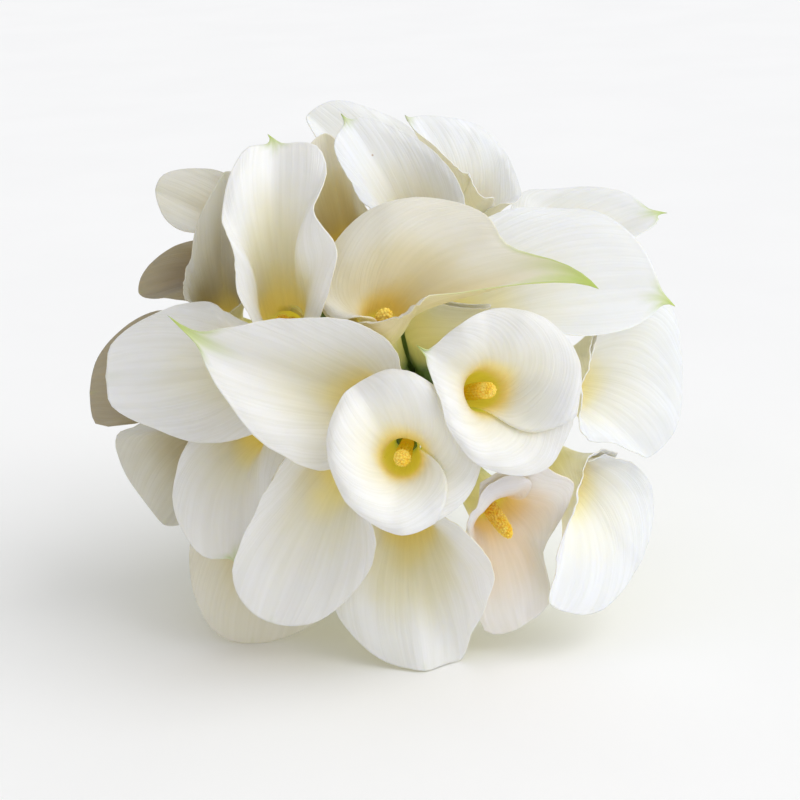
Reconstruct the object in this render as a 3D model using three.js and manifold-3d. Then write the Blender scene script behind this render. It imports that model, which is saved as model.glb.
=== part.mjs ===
// A hand-tied bridal bouquet of twenty-four white calla lilies, laid on its side.
// The flowers are described in the bouquet's own frame: x to the right, y up and
// w towards someone who looks into the flowers, all in millimetres. The last step
// turns that frame so that the bouquet rests on three low points, with +Z up.
import * as THREE from "three";
import { mergeVertices } from "three/addons/utils/BufferGeometryUtils.js";
import Module from "manifold-3d";

// Driving dimensions (mm, degrees)
const SIGHT = 750; // margins are given as sighted from this far in front of the face
const BASE_RADIUS = 5.9; // spathe tube where it leaves the stem
const TUBE_SLOPE = 8; // flare of the tube at the throat
const LAP_GAP = 1.8; // from the middle of one lobe to the middle of the other where they lap
const THICK = 0.9; // spathe thickness
const THROAT = 9.5; // radius of the throat
const LAP_CLEAR = 1.7; // the lobes are pressed apart to this where they lap
const CLEAR = 2.3; // from the middle of one spathe to the middle of its neighbour
const REACH_BACK = 26; // a spathe up to this far inside its neighbour is bent out of it
const STEM_RADIUS = 4.8;
const SPIGOT_RADIUS = 3.8; // the stem's top, inside the spathe's base
const SPIGOT_SHARE = 0.14; // of the tube's length
const FIT = 0.3; // gap between pieces that touch
const SPADIX_RADIUS = 3.75;
const SPADIX_RELIEF = 0.22;
const PITCH = 10.1; // stem to stem under the ribbon
const PRESSED = 0.86; // stems of one group are pressed together to this share of the pitch
const GROUP = 3; // stems in a group
const BIND_W = -178; // the stems run straight from here
const STEM_END_W = -326;
const END_STEP = 3; // the cut ends differ by a few millimetres
const RIBBON_FROM_W = -186;
const RIBBON_TO_W = -250;
const RIBBON_WIDTH = 24;
const RIBBON_TURNS = 2.75;
const RIBBON_STEPS = 18; // to the turn
const RIBBON_THICK = 0.8;
const RIBBON_LIFT = 2.2; // how far the ribbon's upper edge stands over the turn below
const ROLL = -2.44; // of the bouquet about its length as it lies
const TILT = 18.47; // of its stems, the cut ends down

const TUBE_STEPS = 8;
const STEM_STEPS = 10;
const ROWS = [0, 0.5, 1, 1.22, 1.45, 1.72, 2]; // 0 tube base, 1 throat, 2 margin
const HALF = [0, 0.018, 0.12, 0.3, 0.5, 0.68, 0.84, 1];
const COLUMNS = [...HALF.slice(1).reverse().map((v) => -v), ...HALF];
const SWEEPS_STEMS = 260;
const SWEEPS_BLADES = 14;
const SWEEPS_LAPS = 20;
const SUB = 3;
const TUBE_ROOM = 1.55; // kept round a tube: its own wall and half the space to the next
const FOOT_ROOM = 0.8; // kept round a stem just under its spathe
const STEM_ROOM = 0.2; // kept round a stem
const EASE = 0.3; // how far a bent stem straightens in each sweep
const EASE_LAST = 0.05;
const SUPPORTS = 120; // directions in which the ribbon feels for the stems

const WHITE = new THREE.Color("#f4f2ea");
const GREEN = new THREE.Color("#6f8f3a");
const YELLOW = new THREE.Color("#f0b31c");
const SATIN = new THREE.Color("#f3efe6");

const FLOWERS = [
  {
    name: "B", at: [35, 4, -20], lean: [8, 0], foot: [16, 2, -66],
    rim: [[13, 18, 0], [17, 0, 3], [23, -16, 3], [31, -26, 3], [40, -30, 1], [61, -29, -6],
      [69, -16, -8], [74, 0, -6], [74, 16, -6], [66, 29, -4], [54, 36, -1], [40, 38, 0],
      [25, 30, 2]],
    curl: [30, 50, 40, 50], point: 8, tail: 7, hook: -30, sweep: -1, lap: -1, over: [70, 25, 60, -12],
  },
  {
    name: "A", at: [1, -24, -20], lean: [3, 120], foot: [2, -12, -68],
    rim: [[-20, 6, -5], [-30, -12, 2], [-27, -33, 3], [-16, -49, 3], [-1, -56, 0],
      [16, -50, -4], [34, -30, -8], [31, -12, -4], [18, 6, 0], [-2, 14, -2]],
    curl: [60, 65, 45, 60], point: 3, over: [80, -8, 60, 25],
  },
  {
    name: "D", at: [-10, -2, -48], lean: [35, 165], foot: [-4, -2, -90],
    rim: [[-83, 24, -22], [-68, -2, -18], [-52, -21, -14], [-29, -29, -14], [-14, -21, -16],
      [0, -8, -18], [-2, 18, -14], [-8, 25, -12], [-21, 32, -10], [-40, 33, -12],
      [-61, 28, -18]],
    curl: [10, 30, 10, 30], point: 14, tail: 17, hook: 0, sweep: -6,
  },
  {
    name: "E", at: [-48, 30, -56], lean: [35, 98], foot: [-22, 16, -98],
    rim: [[-52, 107, -36], [-63, 102, -32], [-69, 94, -26], [-73, 78, -20], [-69, 62, -14],
      [-66, 44, -18], [-60, 27, -24], [-47, 22, -24], [-34, 36, -18], [-28, 59, -8],
      [-36, 79, -14], [-31, 97, -26], [-36, 105, -32]],
    curl: [50, 30, 10, 30], point: 4, tail: 7, hook: 0, sweep: 4, spadix: 6,
  },
  {
    name: "C", at: [-8, 31, -28], lean: [25, 60], foot: [-6, 16, -72],
    rim: [[76, 60, -2], [42, 66, -10], [36, 76, -16], [17, 83, -20], [0, 83, -20],
      [-14, 78, -22], [-27, 66, -24], [-36, 50, -26], [-34, 36, -18], [-22, 28, -6],
      [-7, 28, 3], [2, 35, 4], [12, 43, 3], [25, 44, -1], [42, 52, -4]],
    curl: [5, 20, 10, 20], point: 27, width: 0.1, tail: 6, hook: 0, sweep: -15,
  },
  {
    name: "M", at: [66, -29, -70], lean: [45, -35], foot: [28, -16, -106],
    rim: [[64, -84, -44], [79, -87, -56], [93, -78, -64], [101, -63, -70], [105, -45, -74],
      [103, -33, -72], [96, -25, -66], [85, -23, -54], [79, -25, -46], [75, -37, -38],
      [70, -52, -34], [66, -68, -36]],
    curl: [20, 30, 10, 30], point: 6,
  },
  {
    name: "P", at: [-21, -21, -62], lean: [40, -125], foot: [-14, -18, -102],
    rim: [[-54, -92, -54], [-64, -83, -50], [-69, -72, -46], [-66, -60, -40], [-59, -47, -32],
      [-52, -33, -28], [-44, -20, -28], [-24, -12, -28], [-14, -41, -26], [-11, -58, -32],
      [-14, -71, -38], [-23, -83, -46], [-36, -91, -52]],
    curl: [25, 30, 10, 30], point: 3,
  },
  {
    name: "O", at: [3, -44, -62], lean: [40, -90], foot: [2, -28, -102],
    rim: [[10, -112, -50], [23, -107, -60], [29, -96, -50], [36, -83, -36], [39, -73, -30],
      [35, -63, -24], [26, -55, -18], [10, -43, -24], [-8, -46, -32], [-21, -58, -46],
      [-26, -72, -52], [-28, -85, -56], [-20, -97, -56], [-6, -107, -54]],
    curl: [20, 30, 10, 30], point: 4,
  },
  {
    name: "N", at: [36, -43, -48], lean: [38, -55], foot: [18, -22, -96],
    rim: [[50, -94, -58], [64, -83, -58], [66, -64, -56], [57, -51, -23], [79, -38, -20],
      [66, -31, -14], [60, -27, -10], [50, -31, -8], [41, -36, -8], [32, -45, -8],
      [25, -53, -10], [28, -66, -36], [31, -83, -50], [36, -95, -60]],
    curl: [10, 0, 30, 20], point: 4, lap: -1, spadix: 24,
  },
  {
    name: "J", at: [14, 31, -50], lean: [45, 15], foot: [9, 14, -95],
    rim: [[108, 43, -46], [98, 64, -50], [83, 77, -52], [64, 79, -50], [46, 79, -44],
      [33, 73, -36], [23, 62, -28], [10, 45, -22], [25, 45, -14], [41, 38, -12], [60, 30, -16],
      [78, 27, -24], [96, 32, -36]],
    curl: [10, 30, 10, 30], point: 5, tail: 7, hook: 0, sweep: -5, spadix: 5,
  },
  {
    name: "L", at: [62, 8, -64], lean: [45, 0], foot: [30, 0, -104],
    rim: [[102, -27, -58], [114, -12, -64], [117, 8, -68], [116, 23, -68], [111, 42, -64],
      [95, 46, -52], [83, 33, -36], [80, 17, -28], [77, 0, -26], [76, -12, -30], [81, -20, -36],
      [92, -24, -48]],
    curl: [20, 30, 10, 30], point: 3,
  },
  {
    name: "F", at: [8, 66, -62], lean: [40, 110], foot: [4, 34, -105],
    rim: [[-21, 115, -46], [-26, 105, -40], [-23, 94, -36], [-16, 84, -32], [-4, 72, -28],
      [10, 62, -30], [23, 70, -34], [25, 83, -38], [21, 94, -42], [13, 103, -46], [0, 111, -50],
      [-13, 115, -48]],
    curl: [20, 30, 10, 30], point: 4, tail: 5,
  },
  {
    name: "S", at: [-52, 15, -68], lean: [45, 180], foot: [-26, 6, -110],
    rim: [[-122, 10, -64], [-113, -1, -62], [-99, -12, -58], [-85, -17, -52], [-68, -16, -44],
      [-54, -10, -38], [-47, 8, -34], [-54, 23, -36], [-66, 32, -42], [-80, 40, -50],
      [-99, 36, -58], [-113, 23, -64]],
    curl: [10, 30, 10, 30], point: 14,
  },
  {
    name: "Q", at: [-56, -9, -80], lean: [45, 200], foot: [-28, -8, -112],
    rim: [[-69, -64, -52], [-80, -61, -58], [-90, -52, -62], [-94, -41, -64], [-92, -28, -62],
      [-86, -17, -58], [-72, 0, -58], [-54, 5, -50], [-45, -12, -42], [-54, -33, -38],
      [-58, -45, -42], [-62, -56, -48]],
    curl: [10, 20, 10, 20], point: 8, tail: 7, sweep: 1,
  },
  {
    name: "G", at: [24, 70, -74], lean: [40, 75], foot: [14, 32, -108],
    rim: [[5, 116, -56], [17, 103, -46], [28, 93, -42], [37, 84, -40], [42, 68, -44],
      [21, 116, -64], [33, 113, -68], [42, 105, -68], [47, 95, -64], [49, 85, -58]],
    curl: [20, 30, 10, 30], point: 4, tail: 3, over: [60, -8, 60, -8],
  },
  {
    name: "Y", at: [-21, 57, -76], lean: [40, 100], foot: [-14, 28, -110],
    rim: [[-31, 110, -66], [-23, 99, -60], [-18, 85, -54], [-16, 70, -48], [-23, 58, -44],
      [-35, 62, -48], [-41, 78, -54], [-41, 97, -60]],
    curl: [10, 20, 10, 20], point: 8,
  },
  {
    name: "I", at: [54, 58, -82], lean: [45, 15], foot: [28, 22, -114],
    rim: [[104, 78, -80], [89, 84, -84], [66, 87, -84], [50, 86, -84], [42, 76, -76],
      [40, 60, -66], [50, 47, -58], [68, 50, -60], [87, 64, -66], [99, 72, -74]],
    curl: [10, 20, 10, 20], tail: 8, sweep: -4,
  },
  {
    name: "X", at: [-73, 29, -84], lean: [40, 110], foot: [-36, 18, -122],
    rim: [[-73, 94, -66], [-79, 76, -64], [-86, 57, -62], [-90, 41, -60], [-72, 35, -50],
      [-62, 45, -48], [-60, 66, -50], [-64, 87, -58]],
    curl: [10, 10, 10, 10], point: 8,
  },
  {
    name: "V", at: [-54, 64, -92], lean: [45, 150], foot: [-28, 34, -120],
    rim: [[-101, 87, -88], [-94, 92, -90], [-80, 95, -90], [-66, 89, -82], [-56, 72, -70],
      [-66, 62, -68], [-80, 68, -74], [-94, 73, -82]],
    curl: [10, 20, 10, 20], point: 6,
  },
  {
    name: "H", at: [0, 76, -90], lean: [45, 110], foot: [0, 34, -120],
    rim: [[-38, 118, -84], [-26, 122, -88], [-12, 120, -90], [2, 114, -90], [12, 99, -84],
      [8, 76, -74], [-12, 85, -68], [-23, 97, -70], [-33, 108, -76]],
    curl: [10, 20, 10, 20], point: 6,
  },
  {
    name: "U", at: [-66, -10, -100], lean: [50, 210], foot: [-38, -14, -124],
    rim: [[-98, -51, -88], [-105, -41, -90], [-115, -27, -90], [-117, -15, -88],
      [-109, -12, -82], [-90, -8, -78], [-72, -12, -72], [-76, -33, -72], [-85, -45, -78],
      [-92, -50, -84]],
    curl: [10, 20, 10, 20], point: 4,
  },
  {
    name: "R", at: [-45, -41, -92], lean: [45, 235], foot: [-24, -28, -122],
    rim: [[-62, -101, -84], [-76, -95, -86], [-84, -83, -86], [-87, -67, -84], [-85, -54, -78],
      [-66, -37, -70], [-41, -33, -66], [-25, -58, -66], [-25, -78, -72], [-36, -92, -80]],
    curl: [20, 20, 10, 20], point: 3,
  },
  {
    name: "W", at: [-68, 54, -104], lean: [50, 165], foot: [-38, 28, -128],
    rim: [[-108, 45, -98], [-103, 54, -100], [-94, 63, -102], [-82, 66, -103], [-70, 60, -98],
      [-68, 45, -90], [-82, 41, -92], [-97, 43, -92]],
    curl: [10, 20, 10, 20], point: 6, throat: 7.5,
  },
  {
    name: "T", at: [-68, 9, -98], lean: [50, 180], foot: [-38, 4, -124],
    rim: [[-128, 3, -92], [-124, -10, -90], [-110, -9, -92], [-90, -3, -90], [-76, 8, -80],
      [-87, 33, -76], [-99, 38, -86], [-113, 31, -92], [-124, 17, -94]],
    curl: [10, 20, 10, 20], point: 4,
  },
];

const SHARED = {
  point: 10, // the tip's extra length
  width: 0.35, // of the tip, in radians round the throat
  tail: 0, // the green thread at the tip
  hook: 20, // how far the thread bends back
  sweep: 0, // how far the tip bends aside
  throat: THROAT,
  lap: 1, // 1: the left lobe lies inside the right
  over: [70, 12, 70, 12], // how far each lobe runs past the front: left at the throat and margin, right
  wave: [0, 3, 0],
  fold: 0,
  spadix: 12, // how far it stands above the throat
  swell: [0.42, 0.34],
};

// Small helpers
const rad = (d) => (d * Math.PI) / 180;
const clamp = (x, a, b) => Math.min(Math.max(x, a), b);
const smooth = (x) => {
  const t = clamp(x, 0, 1);
  return t * t * (3 - 2 * t);
};
const add = (a, b, s = 1) => [a[0] + b[0] * s, a[1] + b[1] * s, a[2] + b[2] * s];
const sub = (a, b) => [a[0] - b[0], a[1] - b[1], a[2] - b[2]];
const scale = (a, s) => [a[0] * s, a[1] * s, a[2] * s];
const dot = (a, b) => a[0] * b[0] + a[1] * b[1] + a[2] * b[2];
const cross = (a, b) => [
  a[1] * b[2] - a[2] * b[1],
  a[2] * b[0] - a[0] * b[2],
  a[0] * b[1] - a[1] * b[0],
];
const size = (a) => Math.sqrt(dot(a, a));
const unit = (a) => scale(a, 1 / Math.max(size(a), 1e-9));
// An angle brought between minus and plus half a turn.
const wrapped = (a) => {
  const turn = 2 * Math.PI;
  return ((((a + Math.PI) % turn) + turn) % turn) - Math.PI;
};
const tubeRadius = (throat, up) =>
  BASE_RADIUS + (throat - BASE_RADIUS) * (0.35 * up + 0.65 * up * up);
const sighted = ([x, y, w]) => {
  const s = (SIGHT - w) / SIGHT;
  return [x * s, y * s, w];
};
// Turns v by the smallest turn that carries a to t.
function turned(v, a, t) {
  const axis = cross(a, t);
  const sine = size(axis);
  const k = scale(axis, 1 / Math.max(sine, 1e-9));
  const cosine = dot(a, t);
  return add(
    add(scale(v, cosine), cross(k, v), sine),
    k,
    dot(k, v) * (1 - cosine),
  );
}

// One calla: its spathe as a rolled sheet round a bent tube
class Calla {
  constructor(spec) {
    Object.assign(this, SHARED, spec);
    this.centre = sighted(this.at);
    const [lean, clock] = this.lean.map(rad);
    this.axis = [
      Math.sin(lean) * Math.cos(clock),
      Math.sin(lean) * Math.sin(clock),
      Math.cos(lean),
    ];
    const points = this.rim.map((p) => sub(sighted(p), this.centre));
    this.tipward = unit(add(points[0], this.axis, -dot(points[0], this.axis)));
    this.leftward = cross(this.axis, this.tipward);
    let knots = points.map((p, i) => {
      const x = dot(p, this.tipward);
      const y = dot(p, this.leftward);
      return [i === 0 ? 0 : Math.atan2(y, x), Math.hypot(x, y), dot(p, this.axis)];
    });
    const long = Math.hypot(knots[0][1] - this.throat, knots[0][2]);
    const k = Math.max(0.3, 1 - this.point / long);
    knots[0][1] = this.throat + (knots[0][1] - this.throat) * k;
    knots[0][2] *= k;
    knots.sort((a, b) => a[0] - b[0]);
    knots = knots.filter(
      (p, i) => i === 0 || p[0] === 0 || p[0] - knots[i - 1][0] > 0.08,
    );
    const shifted = (p, t) => [p[0] + t, p[1], p[2]];
    this.knots = [
      ...knots.slice(-2).map((p) => shifted(p, -2 * Math.PI)),
      ...knots,
      ...knots.slice(0, 2).map((p) => shifted(p, 2 * Math.PI)),
    ];
  }

  // The margin's radius and height at an angle round the throat.
  margin(angle) {
    const e = this.knots;
    const t = wrapped(angle);
    let i = 1;
    while (i < e.length - 3 && e[i + 1][0] <= t) i++;
    const h = e[i + 1][0] - e[i][0];
    const s = (t - e[i][0]) / h;
    const j = Math.min(i + 2, e.length - 1);
    return [1, 2].map((c) => {
      const y0 = e[i][c];
      const y1 = e[i + 1][c];
      const rise = (y1 - y0) / h;
      const limit = 2.2 * Math.abs(rise) + 4;
      const m0 = clamp((y1 - e[i - 1][c]) / (e[i + 1][0] - e[i - 1][0]), -limit, limit);
      const m1 = clamp((e[j][c] - y0) / (e[j][0] - e[i][0]), -limit, limit);
      return (
        (2 * s ** 3 - 3 * s ** 2 + 1) * y0 +
        (s ** 3 - 2 * s ** 2 + s) * h * m0 +
        (3 * s ** 2 - 2 * s ** 3) * y1 +
        (s ** 3 - s ** 2) * h * m1
      );
    });
  }

  around(four, angle) {
    const a = ((((angle / (Math.PI / 2)) % 4) + 4) % 4);
    const i = Math.floor(a) % 4;
    return four[i] + (four[(i + 1) % 4] - four[i]) * smooth(a - Math.floor(a));
  }

  angle(v, rise) {
    const q = clamp(rise - 1, 0, 1);
    const [lt, lm, rt, rm] = this.over.map(rad);
    return v > 0
      ? v * (Math.PI + lt + (lm - lt) * q)
      : v * (Math.PI + rt + (rm - rt) * q);
  }

  // A point of the sheet in the flower's own frame: x to the tip, y left, z along the axis.
  // In the tube z is the place along the bent path, -1 at the foot and 0 at the throat.
  local(v, rise) {
    const th = this.angle(v, rise);
    const q = clamp(rise - 1, 0, 1);
    const [R, H] = this.margin(th);
    const T = this.throat;
    const slope = rad(TUBE_SLOPE);
    const chord = Math.hypot(R - T, H);
    const end = Math.atan2(R - T, H) + rad(this.around(this.curl, th));
    const [k0, k1] = this.swell;
    const ar = T + Math.sin(slope) * chord * k0;
    const az = Math.cos(slope) * chord * k0;
    const br = R - Math.sin(end) * chord * k1;
    const bz = H - Math.cos(end) * chord * k1;
    const away = Math.abs(wrapped(th));
    const peak = this.point * Math.exp(-((away / this.width) ** 1.4));
    const tail = this.tail * Math.exp(-away / 0.025);
    const length = 1.08 * chord;
    const s = q * (length + peak) + tail * smooth((q - 0.7) / 0.3);
    const t = clamp(s / length, 0, 1);
    const u = 1 - t;
    let r = u ** 3 * T + 3 * t * u * u * ar + 3 * t * t * u * br + t ** 3 * R;
    let z = 3 * t * u * u * az + 3 * t * t * u * bz + t ** 3 * H;
    const dr = u * u * (ar - T) + 2 * t * u * (br - ar) + t * t * (R - br);
    const dz = u * u * az + 2 * t * u * (bz - az) + t * t * (H - bz);
    let phi = Math.atan2(dr, dz);
    const past = Math.max(s - length, 0);
    const bend = rad(this.hook) * clamp((past - peak) / Math.max(tail, 1), 0, 1);
    const reach = this.point + this.tail;
    const share = past / reach;
    const ahead = past - (0.67 * this.sweep ** 2 * share ** 3) / reach;
    r += Math.sin(end + 0.5 * bend) * ahead;
    z += Math.cos(end + 0.5 * bend) * ahead;
    const aside = this.sweep * share ** 2;
    const inside = rise < 1;
    if (inside) {
      const up = clamp(rise, 0, 1);
      r = tubeRadius(T, up);
      z = up - 1;
      phi = slope;
    }
    const lapped = smooth((Math.abs(th) - rad(50)) / rad(45));
    const [amp, count, phase] = this.wave;
    let off = 0.5 * LAP_GAP * this.lap * Math.sign(v) * lapped;
    off += amp * Math.sin(count * th + rad(phase)) * q ** 2;
    off -= this.fold * Math.exp(-((th / 0.22) ** 2)) * q ** 0.7;
    r -= Math.cos(phi) * off;
    if (!inside) z += Math.sin(phi) * off;
    return [[r * Math.cos(th), r * Math.sin(th) + (inside ? 0 : aside), z], inside];
  }

  // A place on the tube's bent path and its direction, u from -1 (foot) to 0 (throat).
  spine(u) {
    const P = this.path;
    const n = P.length - 1;
    const x = clamp((u + 1) * n, 0, n);
    const i = clamp(Math.floor(x), 0, n - 1);
    const s = x - i;
    const before = P[Math.max(i - 1, 0)];
    const after = P[Math.min(i + 2, n)];
    const m0 = scale(sub(P[i + 1], before), 0.5);
    const m1 = scale(sub(after, P[i]), 0.5);
    const mix = (a, b, c, d) =>
      [0, 1, 2].map((k) => a * P[i][k] + b * m0[k] + c * P[i + 1][k] + d * m1[k]);
    return [
      mix(2 * s ** 3 - 3 * s ** 2 + 1, s ** 3 - 2 * s ** 2 + s, 3 * s ** 2 - 2 * s ** 3, s ** 3 - s ** 2),
      unit(mix(6 * s ** 2 - 6 * s, 3 * s ** 2 - 4 * s + 1, 6 * s - 6 * s ** 2, 3 * s ** 2 - 2 * s)),
    ];
  }

  // A place inside the tube as it is made, in two straight runs from foot to throat.
  inTube(u, further = 0) {
    const from = u < -0.5 ? -1 : -0.5;
    const start = this.spine(from)[0];
    const run = sub(this.spine(from + 0.5)[0], start);
    return add(start, run, (u - from) / 0.5 + further / size(run));
  }

  surface(v, rise) {
    const [p, inside] = this.local(v, rise);
    const [centre, along] = inside ? this.spine(p[2]) : [this.centre, this.axis];
    const x = turned(this.tipward, this.axis, along);
    const y = turned(this.leftward, this.axis, along);
    const out = add(add(centre, x, p[0]), y, p[1]);
    return inside ? out : add(out, this.axis, p[2]);
  }

  sheet() {
    return ROWS.map((rise) => COLUMNS.map((v) => this.surface(v, rise)));
  }
}

// Where the stems stand under the ribbon
function bundlePlaces(count) {
  const places = [];
  for (let i = -5; i <= 5; i++)
    for (let j = -5; j <= 5; j++)
      places.push([PITCH * (i + 0.5 * j) - 2, PITCH * 0.8660254 * j + 1]);
  places.sort((a, b) => a[0] ** 2 + a[1] ** 2 - (b[0] ** 2 + b[1] ** 2));
  return places.slice(0, count);
}

function assignPlaces(flowers) {
  const places = bundlePlaces(flowers.length);
  const want = flowers.map((f) => [f.foot[0] * 0.8, f.foot[1] * 0.8]);
  const far = (s, w) => (s[0] - w[0]) ** 2 + (s[1] - w[1]) ** 2;
  const order = flowers
    .map((_, i) => i)
    .sort((a, b) => Math.hypot(...want[b]) - Math.hypot(...want[a]));
  const free = places.map((_, i) => i);
  const got = [];
  for (const i of order) {
    let best = free[0];
    for (const s of free) if (far(places[s], want[i]) < far(places[best], want[i])) best = s;
    free.splice(free.indexOf(best), 1);
    got[i] = best;
  }
  for (let round = 0; round < 6; round++)
    for (let i = 0; i < flowers.length; i++)
      for (let j = i + 1; j < flowers.length; j++) {
        const now = far(places[got[i]], want[i]) + far(places[got[j]], want[j]);
        const then = far(places[got[j]], want[i]) + far(places[got[i]], want[j]);
        if (then < now - 1e-6) [got[i], got[j]] = [got[j], got[i]];
      }
  return got.map((s) => places[s]);
}

// Neighbouring stems are pressed together in groups of three.
function groupStems(places) {
  const left = places.map((_, i) => i);
  left.sort((a, b) => Math.hypot(...places[b]) - Math.hypot(...places[a]));
  const gap = (a, b) => Math.hypot(places[a][0] - places[b][0], places[a][1] - places[b][1]);
  const groups = [];
  while (left.length) {
    const group = [left.shift()];
    while (group.length < GROUP && left.length) {
      const near = left
        .filter((i) => group.some((g) => gap(g, i) < PITCH * 1.1))
        .map((i) => [i, group.reduce((sum, g) => sum + gap(g, i), 0) - 0.12 * Math.hypot(...places[i])])
        .sort((a, b) => a[1] - b[1]);
      if (!near.length) break;
      group.push(near[0][0]);
      left.splice(left.indexOf(near[0][0]), 1);
    }
    groups.push(group);
  }
  return groups;
}

// Tubes and stems bent until none presses into another
function settleStems(flowers, places) {
  const nodes = TUBE_STEPS + STEM_STEPS + 1;
  const P = [];
  const R = [];
  flowers.forEach((f, i) => {
    const foot = f.foot;
    const knee = add(f.centre, f.axis, -size(sub(f.centre, foot)) * 0.45);
    const line = [];
    const radius = [];
    for (let k = 0; k <= TUBE_STEPS; k++) {
      const s = 1 - k / TUBE_STEPS;
      line.push([0, 1, 2].map(
        (c) => (1 - s) ** 2 * foot[c] + 2 * s * (1 - s) * knee[c] + s * s * f.centre[c],
      ));
      radius.push(tubeRadius(f.throat, s) + TUBE_ROOM);
    }
    const end = [places[i][0], places[i][1], BIND_W];
    const high = Math.abs(foot[2] - BIND_W);
    const c1 = add(foot, unit(sub(foot, knee)), high * 0.35);
    const c2 = add(end, [0, 0, 1], high * 0.45);
    for (let k = 1; k <= STEM_STEPS; k++) {
      const s = k / STEM_STEPS;
      const u = 1 - s;
      line.push([0, 1, 2].map(
        (c) => u ** 3 * foot[c] + 3 * s * u * u * c1[c] + 3 * s * s * u * c2[c] + s ** 3 * end[c],
      ));
      radius.push(STEM_RADIUS + (k === 1 ? FOOT_ROOM : STEM_ROOM));
    }
    P.push(line);
    R.push(radius);
  });
  const N = flowers.length;
  for (let sweep = 0; sweep < SWEEPS_STEMS; sweep++) {
    const move = P.map((line) => line.map(() => [0, 0, 0]));
    const met = P.map((line) => line.map(() => 0));
    for (let a = 0; a < N; a++)
      for (let b = a + 1; b < N; b++)
        for (let i = 0; i < nodes; i++)
          for (let j = 0; j < nodes; j++) {
            const d = sub(P[a][i], P[b][j]);
            const dist = size(d);
            const need = R[a][i] + R[b][j] - dist;
            if (need <= 0) continue;
            const step = scale(d, (0.5 * need) / dist);
            move[a][i] = add(move[a][i], step);
            move[b][j] = add(move[b][j], step, -1);
            met[a][i]++;
            met[b][j]++;
          }
    const ease = sweep < SWEEPS_STEMS - 20 ? EASE : EASE_LAST;
    for (let a = 0; a < N; a++) {
      for (let i = 1; i < nodes - 1; i++) {
        let s = 0.6 / Math.sqrt(Math.max(met[a][i], 1));
        if (i === 1) s *= 0.3;
        if (i === nodes - 2) s *= 0.5;
        P[a][i] = add(P[a][i], move[a][i], s);
      }
      const was = P[a].map((p) => p.slice());
      for (let i = 2; i < nodes - 1; i++)
        P[a][i] = [0, 1, 2].map(
          (c) => was[i][c] + ease * (0.5 * (was[i - 1][c] + was[i + 1][c]) - was[i][c]),
        );
    }
  }
  flowers.forEach((f, i) => {
    f.path = P[i].slice(0, TUBE_STEPS + 1).reverse();
    f.stemPath = P[i].slice(TUBE_STEPS);
  });
}

// Sheets
// What each corner of a grid cell gives to a point of its two triangles.
const shares = (fa, fb) => (fb >= fa ? [1 - fb, fb - fa, 0, fa] : [1 - fa, 0, fa - fb, fb]);
const CORNERS = [[0, 0], [0, 1], [1, 0], [1, 1]];

// Point a, b of the finer grid is pushed: the cell that it lies in takes the push at its corners.
function pushCell(num, den, a, b, way, push) {
  const i = Math.min(Math.floor(a / SUB), num.length - 2);
  const j = Math.min(Math.floor(b / SUB), num[0].length - 2);
  const part = shares(a / SUB - i, b / SUB - j);
  CORNERS.forEach(([di, dj], c) => {
    num[i + di][j + dj] = add(num[i + di][j + dj], way, part[c] * push);
    den[i + di][j + dj] += part[c];
  });
}

function finer(G) {
  const rows = (G.length - 1) * SUB + 1;
  const cols = (G[0].length - 1) * SUB + 1;
  const out = [];
  for (let a = 0; a < rows; a++) {
    const i = Math.min(Math.floor(a / SUB), G.length - 2);
    const fa = a / SUB - i;
    const row = [];
    for (let b = 0; b < cols; b++) {
      const j = Math.min(Math.floor(b / SUB), G[0].length - 2);
      const fb = b / SUB - j;
      const [w00, w01, w10, w11] = shares(fa, fb);
      row.push([0, 1, 2].map(
        (c) =>
          G[i][j][c] * w00 + G[i][j + 1][c] * w01 + G[i + 1][j][c] * w10 + G[i + 1][j + 1][c] * w11,
      ));
    }
    out.push(row);
  }
  return out;
}

// Directions out of the flower, square to the sheet.
function outward(G) {
  const sums = G.map((row) => row.map(() => [0, 0, 0]));
  for (let i = 0; i < G.length - 1; i++)
    for (let j = 0; j < G[0].length - 1; j++) {
      const across = sub(G[i + 1][j + 1], G[i][j]);
      const right = cross(sub(G[i][j + 1], G[i][j]), across);
      const left = cross(across, sub(G[i + 1][j], G[i][j]));
      sums[i][j] = add(add(sums[i][j], right), left);
      sums[i + 1][j + 1] = add(add(sums[i + 1][j + 1], right), left);
      sums[i][j + 1] = add(sums[i][j + 1], right);
      sums[i + 1][j] = add(sums[i + 1][j], left);
    }
  return sums.map((row) => row.map(unit));
}

function eased(D, weight, free) {
  const last = D.length - 1;
  const edge = D[0].length - 1;
  return D.map((row, i) =>
    row.map((p, j) => {
      const mean = [0, 1, 2].map(
        (c) =>
          0.25 *
          (D[Math.max(i - 1, 0)][j][c] +
            D[Math.min(i + 1, last)][j][c] +
            D[i][Math.max(j - 1, 0)][c] +
            D[i][Math.min(j + 1, edge)][c]),
      );
      return add(p, sub(mean, p), weight * free[i]);
    }),
  );
}

const boxOf = (points) => {
  const lo = [Infinity, Infinity, Infinity];
  const hi = [-Infinity, -Infinity, -Infinity];
  for (const p of points)
    for (let c = 0; c < 3; c++) {
      lo[c] = Math.min(lo[c], p[c]);
      hi[c] = Math.max(hi[c], p[c]);
    }
  return [lo, hi];
};

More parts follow.
